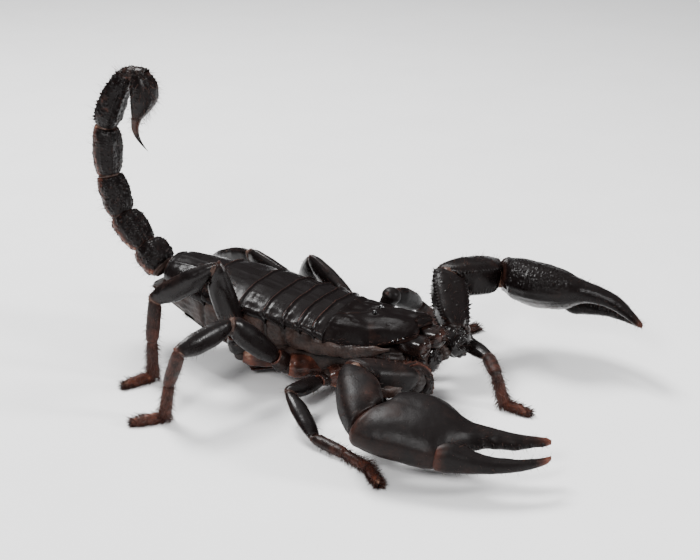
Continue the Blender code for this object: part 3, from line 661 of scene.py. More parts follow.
def add_tergites(coat):
    """Seven back plates that overlap like shingles, with a raised rim at the rear and a painted highlight
    along it.
    """
    rear = CARAPACE_REAR_Y
    rows, count = 64, 90
    turn = np.pi * (1 - (np.arange(count) + 0.5) / count)[None]
    side = abs(np.cos(turn))
    for number, length in enumerate(TERGITE_LENGTHS, 1):
        front, rear = rear, rear + length * TERGITE_SCALE
        span = rear - front
        tuck = 0.0 if number == 1 else TERGITE_OVERLAP
        place = np.linspace(front - tuck, rear - 0.05, rows)[:, None]
        share = (place - front) / span
        rim = 0.22 / span
        lift = -0.42 + 0.62 * np.clip(share, 0, 1) ** 0.7 - 0.75 * np.clip(-share * span, 0, 2)
        lift = lift + bumps(share, (0.34, 1 - 1.5 * rim, 1.1 * rim), (-0.16, 1 - 5.0 * rim, 1.8 * rim))
        shape = back_point(place, turn, lift)
        edge = 0.10 * bump(side, 0.97, 0.03) + 0.5 * bump(side, 0.985, 0.02) * bump(share, 0.92, 0.05)
        outer_keels = bumps(abs(shape[..., 0]), (1, 4.6, 0.45), (1, 9.0, 0.5)) * (share > 0.25)
        keels = 0.12 * bump(shape[..., 0], 0, 0.5) + (0.25 if number == 7 else 0.06) * outer_keels
        rough = 0.02 + 0.04 * step_up(side, 0.62, 1.02) + 0.05 * (share > 0.8)
        rough = rough * grains(shape, 0.62, 0.6, number)
        wave = waves(shape, (0.34, 5.2, 3), (0.04, 1.5, 5))
        streaks = 0.10 * noise(shape * (0.22, 1.0, 0.22), 1.1, 6) * step_up(side, 0.5, 0.7)
        hollow = 0.35 * bump(side, 0.90, 0.06) * bump(share, 0.45, 0.3)
        shape[..., 2] += (edge + keels + rough + wave + streaks - hollow) * np.clip(share * 8, 0, 1)
        # painted highlight: a pale line along each plate's rear rim stands in for the light that the rim
        # catches
        painted_rim_highlight = 0.70 * bump(share, 1 - 1.1 * rim, 0.7 * rim) * (side < 0.95)
        tint = 0.10 + 0.12 * bump(side, 1, 0.04) + 0.06 * wave + painted_rim_highlight
        piece = Piece()
        close_plate(piece, shape, tint, TERGITE_THICK, 0.985, 0.5, 0.25)
        piece.build("back_plate_%d" % number, "plate", "black_shell", ["tergite_%d" % number])
        grid = SimpleNamespace(points=shape, normals=np.broadcast_to(UP, shape.shape), axis=-FORWARD)
        coat.grow(grid, 46, 0.9, 0.035, (side > 0.9) * np.ones_like(share), lie=0.6, tint=0.35)


def belly_ring(y, half, bottom, lean, count):
    """A ring of the soft body: under the back's plates, down the flanks and across below."""
    turn = np.pi * (1 - np.linspace(0, 1, count // 3))
    upper = back_point(np.full(count // 3, y), turn, -1.3, -1.0)
    top_z = upper[0, 2] - 0.5
    angle = angles(2 * (count - count // 3))[:count - count // 3]
    sink = np.sin(angle) ** 0.75
    lower = np.stack([half * np.cos(angle), y + lean * sink, top_z + (bottom - top_z) * sink], -1)
    return np.concatenate([upper, lower])


def add_flanks(skin):
    """The soft flanks: creased from plate to plate and bulging a little between them."""
    rows, count = 150, 150
    places = np.linspace(BELLY[0][0], BELLY[-1][0], rows)
    points = np.array([belly_ring(y, *smooth(BELLY, y), count) for y in places])
    seams = CARAPACE_REAR_Y + np.cumsum((0,) + TERGITE_LENGTHS) * TERGITE_SCALE
    pinch = sum(bump(points[..., 1], y, 0.7) for y in seams)
    folds = np.sin(points[..., 2] * 3.4 + 1.2 * noise(points, 3.0, 8))
    height = -0.55 * pinch + 0.09 * folds + 0.25 * noise(points, 2.4, 9) + 0.10 * grains(points, 0.5, 0.9, 7)
    grid = emboss(SimpleNamespace(points=points), height * step_up(points[..., 2], 22.5, 20.5))
    skin.close(grid.points, 0.49 + 0.12 * noise(points, 3.5, 12) - 0.16 * pinch, 0.3)


def tube(path, rows=120, count=40):
    """A grid round a curve; path rows are (x, y, z, half across, half up)."""
    path = np.array(path, float)
    knots = np.linspace(0, 1, len(path))[:, None]
    share = np.linspace(0, 1, rows)
    centre, halves = (smooth(np.hstack([knots, part]), share) for part in (path[:, :3], path[:, 3:]))
    angle = angles(count)
    across = np.cross(np.gradient(centre, axis=0), UP)
    across /= np.linalg.norm(across, axis=1, keepdims=True)
    return (centre[:, None] + across[:, None] * (halves[:, :1] * np.cos(angle))[..., None]
            + UP * (halves[:, 1:] * np.sin(angle))[..., None])


def add_pleural_folds(skin):
    """The soft fold of skin that runs forward below the head shield's rim."""
    for sign in SIDES.values():
        points = tube(np.array(PLEURAL_FOLD) * (sign, 1, 1, 1, 1))
        creases = np.sin(points[..., 1] * 1.1 + 1.5 * noise(points, 3.0, 14))
        height = 0.12 * creases + 0.14 * noise(points, 2.2, 15) + 0.03 * grains(points, 0.5, 0.5, 16)
        grid = emboss(SimpleNamespace(points=points), height)
        skin.close(grid.points, 0.48 + 0.12 * noise(grid.points, 3.0, 17), 0.2)


def add_sternites(coat):
    """Five belly plates with breathing slits, lying on the soft skin below."""
    piece = Piece()
    front = STERNITE_FRONT_Y
    scale = (BELLY[-1][0] + 0.2 - front) / sum(STERNITE_LENGTHS)
    rows, count = 30, 60
    kept = slice(int(count * 1.36), int(count * 2.64))
    for number, length in enumerate(STERNITE_LENGTHS):
        rear = front + length * scale
        last = number == len(STERNITE_LENGTHS) - 1
        places = np.linspace(front - 0.7 * (number > 0), rear - 0.15, rows)
        sheet = np.array([belly_ring(y, *smooth(BELLY, y), 3 * count)[kept] for y in places])
        share = np.linspace(0, 1, rows)[:, None]
        outward = normals_of(np.concatenate([sheet, sheet[:, ::-1] + UP], 1))[:, :sheet.shape[1]]
        aside = abs(sheet[..., 0])
        slit = bump(aside, 0.62 * aside.max(), 1.1) * bump(share, 0.55, 0.05) * (not last)
        keels = bumps(aside, (0.12, 2.6, 0.4), (0.12, 5.6, 0.4)) * last
        height = 0.16 * bump(share, 0.95, 0.04) + 0.10 + 0.25 * share + keels - 0.3 * slit
        outer = sheet + outward * (height + 0.03 * grains(sheet, 0.5, 0.7, 31))[..., None]
        inner = (sheet - outward * 0.5)[:, ::-1]
        tint = 0.30 + 0.22 * bump(share, 1, 0.08) + 0.10 * noise(outer, 3.0, 33) - 0.2 * slit
        piece.close(np.concatenate([outer, inner], 1), np.concatenate([tint, tint[:, ::-1]], 1), 0.2)
        grid = SimpleNamespace(points=outer, normals=outward, axis=-FORWARD)
        rim = bump(share, 1, 0.12) * np.ones(outer.shape[:2])
        coat.grow(grid, 60, 1.2, 0.035, rim, lie=0.8, lift=0.6)
        front = rear
    piece.build("belly_plates", "plate", "brown_shell")


# -------------------------------------------------------------- head shield
def carapace_half(along):
    """Half width of the head shield from its front (0) to its rear (1)."""
    return CARAPACE_FRONT_HALF + (CARAPACE_REAR_HALF - CARAPACE_FRONT_HALF) * np.clip(along, 0, 1) ** 0.75


def carapace_share(y):
    """How far back a place on the head shield is, from 0 to 1."""
    return (y - CARAPACE_FRONT_Y) / (CARAPACE_REAR_Y - CARAPACE_FRONT_Y)


def carapace_front(x):
    """Front margin: two rounded lobes with a notch between them."""
    notch = CARAPACE_NOTCH_DEPTH * np.clip(1 - (abs(x) / CARAPACE_NOTCH_HALF) ** 1.5, 0, 1)
    shoulder = 4.2 * np.clip((abs(x) - 5.0) / (CARAPACE_FRONT_HALF - 5.0), 0, None) ** 2.2
    return CARAPACE_FRONT_Y + notch + shoulder


def carapace_top(x, y):
    """Height of the head shield: a dome with a low eye hill and a middle groove."""
    x, y = np.asarray(x), np.asarray(y)
    along = np.clip(carapace_share(y), 0, 1)
    crown, edge = smooth(CARAPACE_CROWN, along)[..., 0], smooth(CARAPACE_EDGE, along)[..., 0]
    arch = np.clip(1 - (abs(x) / carapace_half(along)) ** 4.2, 0, 1) ** 0.85
    hill = 0.9 * bump(x, 0, 2.2) * bump(y, EYE_Y, 3.4)
    groove = -0.5 * bump(x, 0, 1.3) * (1 - bump(y, EYE_Y, 5))
    return edge + (crown - edge) * arch + hill + groove


def add_carapace(coat):
    """The head shield with furrows, lobes, a rim and grainy flanks."""
    rows, count = 130, 170
    share = np.linspace(0, 1, rows)[:, None]
    half = carapace_half(share)
    x = -half * np.cos(np.pi * np.linspace(0, 1, count))[None]
    y = carapace_front(x * CARAPACE_FRONT_HALF / half)
    y = y + (CARAPACE_REAR_Y + 0.1 - y) * share
    aside, side, along = abs(x), abs(x) / half, carapace_share(y)
    shape = np.stack([x, y, carapace_top(x, y)], -1)
    fork = bump(aside, 0.8 + 13.0 * np.clip(along - 0.62, 0, 1), 0.8) * (along > 0.6)
    slant = bump(along, 0.42 + 0.30 * (1 - side), 0.07)
    slant = slant * step_up(side, 0.35, 0.65) * step_up(side, 0.97, 0.87)
    brow = bump(aside, EYE_X, 0.75) * bump(y, EYE_Y - 0.1, 1.7)
    shoulder = bump(aside, 3.6, 1.1) * bump(along, 0.36, 0.22)
    hollow = bump(aside, 6.4, 1.6) * bump(along, 0.42, 0.25)
    detail = -0.22 * fork - 0.20 * slant + 0.30 * brow + 0.35 * shoulder - 0.40 * hollow
    detail = detail + bumps(share, (-0.22, 0.90, 0.04), (0.12, 0.975, 0.02), (0.10, 0.04, 0.03))
    detail = detail + 0.12 * bump(side, 0.965, 0.03) - 0.6 * np.clip(1 - share / 0.05, 0, 1) ** 2
    grainy = 0.006 + step_up(side, 0.6, 0.9) * (0.02 + 0.12 * np.clip(1 - along * 1.6, 0, 1))
    streaks = noise(shape * (1.0, 0.22, 1.0), 0.9, 26) * bump(share, 0.88, 0.14) * (side > 0.3)
    pits = bump(noise(shape, 1.5, 27), 0.9, 0.3) * (side > 0.35)
    detail = detail + grains(shape, 0.7, 0.4, 21) * grainy + 0.14 * streaks - 0.12 * pits
    detail = detail + waves(shape, (0.40, 4.6, 22), (0.13, 2.3, 23))
    calm = 1 - 0.9 * bump(np.hypot(x, (y - EYE_Y) * 0.8), 0, 3.6)
    shape[..., 2] += detail * calm + 0.30 * brow * (1 - calm)
    flecks = bump(noise(shape * (1.0, 0.5, 1.0), 2.0, 28), 0.95, 0.16) * (side > 0.35)
    tint = (0.14 + 0.10 * side ** 6 + 0.30 * slant + 0.25 * fork + 0.14 * noise(shape, 3.0, 24)
            + 0.10 * bump(share, 0, 0.03) + 0.5 * flecks)
    depth = 1.1 + 1.2 * np.clip(share * 3, 0, 1) * (1 - side[:, ::-1][:, 1:-1])
    piece = Piece()
    close_plate(piece, shape, tint, depth, 0.975, 0.45, 0.2)
    piece.build("head_shield", "shield", "black_shell", ["carapace"])
    normals = np.broadcast_to(UP * 0.6 + FORWARD * 0.5, shape.shape)
    grid = SimpleNamespace(points=shape, normals=normals, axis=FORWARD)
    coat.grow(grid, 130, 1.3, 0.04, bump(share, 0, 0.03) + 0.25 * (side > 0.94), lie=0.8, tint=0.45)


def add_eyes():
    """Two median eyes on their hill and three small ones at each front corner."""
    small_eyes = Piece()
    for side, sign in SIDES.items():
        eye = Piece()
        centre = (sign * EYE_X, EYE_Y, float(carapace_top(EYE_X, EYE_Y)) + EYE_LIFT)
        bead(eye, centre, (EYE_RADIUS,) * 3, 0.2, 28, 44)
        eye.build("median_eye_" + side, "eye", "eye", ["eye_" + side])
        for step in range(3):
            x = sign * (carapace_half(0.075 + 0.05 * step) - 1.25 + 0.15 * step)
            y = float(carapace_front(7.4)) + 1.0 + 1.35 * step
            bead(small_eyes, (x, y, float(carapace_top(x, y)) + 0.12), SIDE_EYE_HALVES, 0.2, 12, 18)
    small_eyes.build("side_eyes", "eye", "eye")


# ------------------------------------------------------- jaws and underside
JAW_ROOT, JAW_TIP = (3.9, -83.4, 19.2), (4.1, -92.9, 18.4)
JAW_STAGGER = 0.5       # the left jaw reaches this much further forward, the right one less
JAW = ((0.0, 2.6, 2.4), (0.2, 3.2, 2.9), (0.5, 3.6, 3.3), (0.8, 3.2, 3.1), (0.93, 2.5, 2.5), (1.0, 1.6, 1.7))
# (lift, way outwards, length, radius) of the fixed inner tip and the movable outer one
JAW_TIPS = ((-0.7, -1.0, 1.8, 1.5), (-1.0, 1.0, 2.1, 1.6))


def add_chelicerae(coat):
    """Two bulky, wet-looking jaws, each with a fixed and a movable toothed tip."""
    for side, sign in SIDES.items():
        wrist = mirrored(JAW_TIP, sign) + FORWARD * JAW_STAGGER * sign
        grid = limb(mirrored(JAW_ROOT, sign), wrist, JAW, LEFT, power=2.4, rows=60, count=70)
        dent = bump(grid.share, 0.78, 0.05) * ridge(grid.angle, 90, 50)
        height = 0.01 * grains(grid.points, 0.7, 0.3, 41) + 0.28 * noise(grid.points, 2.6, 42)
        emboss(grid, height - 0.12 * dent)
        piece = Piece()
        tint = 0.38 + 0.16 * step_up(grid.share, 0.85, 1) + 0.14 * noise(grid.points, 2.0, 43)
        piece.close(grid.points, tint, 0.8)
        where = np.clip(grid.share - 0.75, 0, 1) * (1 + ridge(grid.angle, 90, 60))
        coat.grow(grid, 60, 1.5, 0.04, where, lie=1.0, tint=0.45)
        for lift, aside, length, thick in JAW_TIPS:
            base = wrist + np.array([sign * aside, 1.3, lift])
            bend = np.array([-sign * aside * 0.24, 0.30, -0.10])
            reach = unit(FORWARD * 0.25 - UP * 0.97 - LEFT * sign * 0.2)
            thorn(piece, base, reach, length, thick, bend, 0.45, 0.10, 22, 20)
            for tooth in range(4):
                share = 0.32 + 0.16 * tooth
                root = base + reach * length * share + bend * length * share ** 2
                inward = np.array([-sign * aside, -0.35, -0.2])
                thorn(piece, root, inward, 0.7 - 0.1 * tooth, 0.3, tint=0.2, tip_tint=0.1)
        piece.build("jaw_" + side, "wet", "black_shell", ["chelicera_" + side])


ARM_COXA_ROOT = (3.4, -80.5, 11.5)
ARM_COXA = ((0.0, 2.6, 2.4), (0.4, 4.0, 3.9), (0.8, 4.3, 4.0), (1.0, 3.2, 3.2))
LOBE_ROOT_Y = -82.6
# (x, length, z, half wide, half tall) of the lobes below the mouth
LOBES = ((1.6, 8.0, 7.6, 1.5, 1.5), (5.0, 9.2, 11.2, 4.0, 4.8))
LOBE = ((0, 0.9, 0.8), (0.5, 1.0, 1.0), (0.8, 0.86, 0.86), (0.94, 0.6, 0.62), (1, 0.3, 0.3))
JAW_FOLD, JAW_FOLD_HALVES = (7.8, -82.6, 15.8), (2.3, 4.6, 2.6)
BREASTBONE = ((0, 0.5, 0.5), (0.3, 1.7, 0.8), (0.8, 2.1, 0.8), (1, 1.6, 0.6))
GENITAL_ENDS = ((1.3, -55.0, 4.2), (2.2, -50.4, 3.9))
GENITAL_PLATE = ((0, 1.2, 0.6), (0.5, 1.9, 0.75), (1, 1.2, 0.5))
CHEST = ((0.0, 11.0, 3.2), (0.25, 10.6, 4.6), (0.5, 9.8, 5.4), (0.8, 8.2, 4.4), (1.0, 5.6, 2.2))


def add_leg_coxae(piece, skin, coat):
    """The bases of the eight legs, keeled below, with a bead of skin at each hip."""
    for (side, number), (hip, _, _) in LEG_POSES.items():
        root = mirrored(COXA_ROOTS[number], SIDES[side])
        hip = np.array(hip)
        wide = 2.9 if number > 2 else 2.6
        profile = ((0.0, 1.5, 1.8), (0.2, 2.4, 2.6), (0.6, wide, 3.2), (0.9, wide + 0.2, 3.3),
                   (1.0, wide - 0.4, 2.6))
        end = root + (hip - root) * 0.97
        grid = limb(root, end, profile, np.cross(hip - root, UP), power=2.3, rows=46, count=52)
        keels = ridges(grid.angle, (0.25, 125, 9), (0.2, 55, 9))
        emboss(grid, keels + 0.05 * grains(grid.points, 0.6, 0.6, 51) + 0.34 * noise(grid.points, 2.1, 52))
        piece.close(grid.points, 0.66 + 0.24 * noise(grid.points, 2.2, 53) + 0.15 * grid.share ** 4)
        coat.grow(grid, 30, 1.2, 0.035, ridge(grid.angle, -90, 60), lie=0.5)
        bead(skin, hip, (2.3, 2.3, 2.5), 0.42, wrinkle=0.06)


def add_arm_coxae(piece, skin, coat):
    """The bases of the claw arms, the lobes below the mouth and the skin behind the jaws."""
    for side, sign in SIDES.items():
        root = np.array(PEDIPALPS[side]["root"])
        base = mirrored(ARM_COXA_ROOT, sign)
        across = np.cross(root - base, UP)
        grid = limb(base, base + (root - base) * 0.94, ARM_COXA, across, power=2.4, rows=50, count=56)
        emboss(grid, 0.07 * grains(grid.points, 0.65, 0.65, 54) + 0.14 * noise(grid.points, 2.2, 55))
        piece.close(grid.points, 0.46 + 0.16 * noise(grid.points, 2.6, 56))
        coat.grow(grid, 70, 1.6, 0.04, grid.share, lie=0.6)
        for x, length, z, wide, tall in LOBES:
            start = np.array([sign * x, LOBE_ROOT_Y, z])
            profile = np.array(LOBE) * (1, wide, tall)
            end = start + FORWARD * length + UP * 0.4
            grid = limb(start, end, profile, LEFT, rows=44, count=50)
            lumps = 0.34 * grains(grid.points, 1.1, 0.75, 50) + 0.10 * grains(grid.points, 0.5, 0.6, 48)
            emboss(grid, lumps + 0.16 * noise(grid.points, 1.6, 57))
            flecks = bump(noise(grid.points, 1.1, 47), 0.9, 0.25)
            piece.close(grid.points, 0.26 + 0.16 * noise(grid.points, 1.8, 49) + 0.5 * flecks)
            coat.grow(grid, 60, 1.4, 0.04, grid.share ** 2, lie=0.9, tint=0.45)
        bead(skin, mirrored(JAW_FOLD, sign), JAW_FOLD_HALVES, 0.3, 36, 48, 0.05)


def add_leg_bases(skin, coat):
    """All that roofs the chest from below, as one piece, over a core of skin."""
    piece = Piece()
    add_leg_coxae(piece, skin, coat)
    add_arm_coxae(piece, skin, coat)
    plate = limb((0, -61.8, 5.6), (0, -55.6, 4.7), BREASTBONE, LEFT, power=3.0, rows=30, count=40)
    emboss(plate, ridges(plate.angle, (-0.3, 90, 14), (-0.3, -90, 14)))
    piece.close(plate.points, 0.6)
    for sign in SIDES.values():
        start, end = (mirrored(place, sign) for place in GENITAL_ENDS)
        grid = limb(start, end, GENITAL_PLATE, LEFT, rows=24, count=36)
        emboss(grid, 0.05 * noise(grid.points, 0.9, 58))
        piece.close(grid.points, 0.55)
    piece.build("leg_bases", "wet", "brown_shell", ["coxae"])
    core = limb((0, -48.2, 9.4), (0, -90.4, 12.2), CHEST, LEFT, power=2.8, rows=40, count=56)
    emboss(core, 0.2 * noise(core.points, 1.7, 59))
    skin.close(core.points, 0.42 + 0.1 * noise(core.points, 2.0, 60))


COMB_START, COMB_END = (1.6, -46.6, 2.9), (11.0, -39.6, 3.0)
COMB = ((0.0, 0.9, 0.42), (0.2, 1.35, 0.45), (0.7, 1.15, 0.4), (1.0, 0.5, 0.3))
COMB_TOOTH = ((0, 0.22, 0.2), (0.5, 0.29, 0.24), (1, 0.2, 0.16))
COMB_TEETH = 17


def add_pectines():
    """The two comb organs, with a row of flat teeth along the rear edge."""
    for side, sign in SIDES.items():
        piece = Piece()
        start, end = mirrored(COMB_START, sign), mirrored(COMB_END, sign)
        grid = limb(start, end, COMB, FORWARD, rows=44, count=32)
        emboss(grid, 0.05 * np.sin(grid.share * 60))
        piece.close(grid.points, 0.62)
        axis = unit(end - start)
        back = facing(unit(np.cross(axis, UP)), -FORWARD)
        for share in np.linspace(0.1, 0.97, COMB_TEETH):
            root = start + (end - start) * share + back * 0.55
            tip = root + back * (2.1 - 0.8 * share) + axis * 0.25
            piece.close(limb(root, tip, COMB_TOOTH, axis, rows=10, count=12).points, 0.85, 0.3)
        piece.build("comb_" + side, "tarsus", "brown_shell", ["pecten_" + side])


# -------------------------------------------------------------------- tail
# (height, degrees, strength of the beads) of the keels, on the inner and the outer side
TAIL_KEELS = ((0.6, -128, 0.8), (0.6, -52, 0.8), (0.36, -172, 0.8), (0.36, -8, 0.8), (0.5, 132, 0.8),
              (0.5, 48, 0.8), (0.36, 104, 0.8), (0.36, 76, 0.8))
TAIL_LAST_KEELS = ((0.5, -146, 0.8), (0.5, -34, 0.8), (0.42, 138, 1.5), (0.42, 42, 1.5), (0.46, 90, 1.5))


def tail_height(grid, number, last, beads):
    """Height of the broken, beaded keels, inner humps, grains and swollen ends."""
    ends = step_up(grid.share, 0, 0.08) * step_up(grid.share, 1, 0.94)
    broken = 0.6 + 0.4 * noise(grid.points, 1.1, 68)
    height = np.zeros_like(grid.share)
    for size, degrees, strength in TAIL_LAST_KEELS if last else TAIL_KEELS:
        height += ridge(grid.angle, degrees, 6.5) * size * (0.35 + 0.6 * strength * beads) * ends * broken
    if not last:
        height += ridges(grid.angle, (0.4, -128, 13), (0.4, -52, 13)) * bump(grid.share, 0.62, 0.26)
    height += (0.24 * grains(grid.points, 0.9, 0.55, 61 + number) - 0.30 * ridge(grid.angle, -90, 16)) * ends
    height += waves(grid.points, (0.22, 3.4, 66), (0.09, 1.1, 69))
    return height + bumps(grid.share, (0.22, 0.965, 0.025), (0.16, 0.03, 0.02))


def add_tail(skin, coat):
    """Five keeled, grainy segments; the outer side faces back and its facets are browner."""
    joints = [np.array(TAIL_ROOT)]
    headings = [heading(180, climb) for climb in TAIL_CLIMBS]
    for length, axis in zip(TAIL_LENGTHS, headings):
        joints.append(joints[-1] + axis * length)
    planes = [heading(180, TAIL_ROOT_CLIMB), *joint_planes(headings), headings[-1]]
    for i, axis in enumerate(headings):
        last = axis is headings[-1]
        wide, deep = TAIL_HALF_WIDE[i] - 0.25, TAIL_HALF_DEEP[i] - 0.3
        rings = TAIL_LAST_RING if last else TAIL_RING
        profile = [(share, wide * scale, deep * scale) for share, scale in rings]
        start, end = joints[i] + axis * 0.15, joints[i + 1] - axis * 0.15
        grid = limb(start, end, profile, LEFT, planes[i:i + 2], 2.35, 110, 150)
        beads = 0.55 + 0.45 * np.cos(2 * np.pi * grid.share * TAIL_LENGTHS[i] / 0.82)
        emboss(grid, tail_height(grid, i, last, beads))
        if last:
            grid.points = grid.points + grid.rise * (TAIL_LAST_BOW * np.sin(np.pi * grid.share))[..., None]
        outer = np.clip(np.sin(grid.angle), 0, 1)
        facet = ridges(grid.angle, (1, 153, 22), (1, 27, 22), (0.6, 90, 14)) * (0.6 + 0.4 * outer)
        flecks = bump(noise(grid.points, 0.9, 70), 0.8, 0.3)
        tint = (0.12 + 0.66 * facet * (0.25 if last else 1) + 0.28 * flecks + 0.10 * (i < 2)
                + 0.14 * noise(grid.points, 2.0, 67)
                + bumps(grid.share, (0.22, 0.0, 0.05), (0.22, 1.0, 0.05)))
        piece = Piece()
        piece.close(grid.points, tint)
        if last:
            for degrees in (42, 90, 138):
                thorn_row(piece, grid, degrees, range(8, 98, 6), sink=0.2, lean=0.2, length=0.62,
                          growth=0.12, radius=0.42)
        piece.build("tail_ring_%d" % (i + 1), "shell", "black_shell", ["tail_%d" % (i + 1)])
        where = 0.35 + ridge(grid.angle, 90, 70) + beads * 0.2
        coat.grow(grid, 130 + 40 * last, 2.1 + 0.8 * last, 0.035, where, lie=0.2, tint=0.45)
        size = (TAIL_HALF_WIDE[i] * 0.78, TAIL_HALF_DEEP[i] * 0.72, 1.7)
        bead(skin, joints[i], size, 0.66 if last else 0.5, 18, 40, 0.05, square_axes(LEFT, planes[i]))
    add_telson(joints[-1], skin, coat)


def add_telson(joint, skin, coat):
    """The grainy venom bulb on its stalk, with the sting at its end."""
    root = joint + FORWARD * BULB_REACH + UP * 0.8
    profile = [(share, wide - 0.12, deep - 0.12) for share, wide, deep, _ in BULB]
    grid = limb(root, root - UP * BULB_LENGTH, profile, LEFT, rows=110, count=120)
    push = smooth([(row[0], row[3]) for row in BULB], grid.share[:, 0])[:, 0]
    grid.points = grid.points + FORWARD * push[:, None, None]
    front = ridge(grid.angle, 90 if grid.rise[1] < 0 else -90, 60)
    ends = step_up(grid.share, 1, 0.65)
    beads = 0.5 + 0.5 * np.cos(2 * np.pi * grid.share * 15)
    keels = sum(ridge(grid.angle, degrees, 6) for degrees in BULB_KEELS) * (0.5 + 0.5 * beads)
    height = (0.16 * grains(grid.points, 0.8, 0.6, 71) + 0.30 * keels) * ends
    emboss(grid, height + 0.06 * noise(grid.points, 1.5, 72))
    piece = Piece()
    piece.close(grid.points, 0.14 + 0.16 * front ** 3 + 0.14 * noise(grid.points, 1.8, 73)
                + 0.35 * step_up(grid.share, 0.8, 1) + 0.2 * bump(grid.share, 0, 0.07))
    stalk = ((0, 1.5, 1.0), (0.3, 2.3, 1.7), (0.7, 2.4, 1.8), (1, 1.5, 1.0))
    bridge = limb(joint - FORWARD * 1.8, root + FORWARD * 1.2, stalk, LEFT, rows=70, count=80)
    emboss(bridge, 0.4 * grains(bridge.points, 0.9, 0.7, 74) + 0.2 * noise(bridge.points, 1.3, 75))
    piece.close(bridge.points, 0.36 + 0.25 * noise(bridge.points, 1.2, 76))
    coat.grow(bridge, 40, 1.6, 0.035, lie=0.1)
    piece.build("venom_bulb", "shell", "black_shell", ["vesicle"])
    coat.grow(grid, 330, 2.4, 0.035, 0.4 + front, lie=0.5)
    add_sting(root - UP * (BULB_LENGTH - 0.1) + FORWARD * BULB[-1][3], coat)
    bead(skin, (joint + root) / 2 - UP * 0.8, (2.2, 3.4, 1.6), 0.5, 30, 44, 0.08)


def add_sting(base, coat):
    """The curved, polished sting, bent back and then forward to its point."""
    rows, count = 80, 40
    share = np.linspace(0, 1, rows)
    bend = 3.8 * share ** 2.4 - 1.1 * np.sin(np.pi * share) - 0.4 * share
    centre = base - np.outer(share * STING_LENGTH, UP) + np.outer(bend, FORWARD)
    radius = STING_RADIUS * (1 - share) ** 0.9 + 0.05 + 0.12 * bump(share, 0.0, 0.1)
    angle = angles(count, 0)
    ring = np.outer(np.cos(angle), LEFT) + np.outer(np.sin(angle), FORWARD)
    points = centre[:, None] + ring[None] * radius[:, None, None]
    sting = Piece()
    sting.close(points, np.interp(share, *zip(*STING_TINTS))[:, None], 0.2)
    sting.build("sting_spine", "sting", "sting_tip", ["sting"])
    upper = points[:rows // 2]
    shaft = SimpleNamespace(points=upper, normals=np.broadcast_to(ring, upper.shape), axis=-UP)
    coat.grow(shaft, 60, 2.0, 0.03, lie=0.3, tint=0.6)


# -------------------------------------------------------------------- legs
def leg_points(side, number):
    """Hip, knees, ankles and toe of one leg."""
    hip, upper, lower = LEG_POSES[side, number]
    points = [np.array(hip, float)]
    lengths = LEG_LENGTHS[number]
    for (bearing, climb), length in zip(upper, lengths):
        points.append(points[-1] + heading(bearing, climb) * length)
    for bearing, length, height in zip(lower, lengths[3:], (ANKLE_Z, TOE_Z)):
        drop = max(-1.0, (height - points[-1][2]) / length)
        points.append(points[-1] + heading(bearing, math.degrees(math.asin(drop))) * length)
    return points


def add_blade(shell, coat, grid, warm, hairs):
    """Raise the keels of one upper leg segment, close it and give it its bristles."""
    angle, share = grid.angle, grid.share
    saw = 0.7 + 0.3 * np.cos(2 * np.pi * share * grid.length / 0.7)
    height = ridges(angle, (0.22, 90, 8), (0.28, -90, 8)) * saw
    height += ridges(angle, (0.14, 28, 7), (0.14, 152, 7)) * bump(share, 0.5, 0.36)
    height += waves(grid.points, (0.05, 2.6, 80), (0.025, 0.8, 81)) + 0.14 * bump(share, 0.97, 0.025)
    height += 0.06 * grains(grid.points, 0.6, 0.35, 82) * ridges(angle, (1, 90, 40), (1, -90, 40))
    emboss(grid, height)
    shell.close(grid.points, warm + 0.12 * noise(grid.points, 3.2, 83) + 0.16 * ridge(angle, -90, 30)
                + bumps(share, (0.26, 0, 0.06), (0.34, 1, 0.06)))
    coat.grow(grid, hairs, 1.5, 0.035, ridges(angle, (1, -90, 35), (1, 90, 30)), lie=0.7)


def add_leg(side, number, skin, coat):
    """Keeled blades down to the shin, with webs of skin at the knees, and the foot."""
    points = leg_points(side, number)
    axes = [unit(b - a) for a, b in zip(points, points[1:])]
    across = np.cross(axes[0], axes[1])
    across = unit(across) if np.linalg.norm(across) > 0.2 else level_across(axes[0])
    across = facing(across, level_across(axes[0]))
    deeps = LEG_HALF_DEEP[number]
    stout = STOUT_LEGS.get((side, number), 1.0)
    very_stout = stout > VERY_STOUT
    planes = [axes[0], *joint_planes(axes), axes[-1]]
    knee_planes = axes[:2] if very_stout else [planes[1]] * 2
    split = points[0] + (points[1] - points[0]) * TROCHANTER_SHARE
    shell = Piece()
    # start, end, profile, half depth, flatness, end planes, tint, rows and bristles
    parts = (
        (points[0], split, TROCHANTER, deeps[0], 0.8, (axes[0], axes[0]), 0.42, 36, 20),
        (split + axes[0] * 0.2, points[1], STOUT_FEMUR if very_stout else FEMUR, deeps[0], LEG_FLATNESS[0],
         (axes[0], knee_planes[0]), 0.16, 66, 60),
        (points[1], points[2], PATELLA, deeps[1], LEG_FLATNESS[1], (knee_planes[1], planes[2]), 0.20, 66, 80),
    )
    for start, end, shape, deep, flat, ends, warm, rows, hairs in parts:
        wide, tall = (deep - 0.12) * flat * stout, (deep - 0.12) * stout ** 0.5
        profile = [(share, wide * scale, tall * scale) for share, scale in shape]
        grid = limb(start + unit(end - start) * 0.1, end, profile, across, ends, 2.1, rows, 54)
        add_blade(shell, coat, grid, warm, hairs)
    if very_stout:
        bead(shell, points[1] - axes[0], (2.8, 3.0, 2.6), 0.22, 40, 60, 0.01, square_axes(across, axes[0]))
    name = "leg_%s_%d_" % (side, number)
    surface = "satin" if very_stout else "leg"
    shell.build(name + "shell", surface, "black_shell", [name + "femur", name + "patella"])
    for joint in (1, 2):
        size = deeps[joint - 1] * 0.48
        halves = (size * LEG_FLATNESS[0] * 1.25, size * 1.15, size * 0.8)
        bead(skin, points[joint], halves, 0.64, 24, 40, 0.12, square_axes(across, planes[joint]))
    add_foot(name, points[2:], axes[2:], planes[2:], deeps[2:], across, skin, coat)


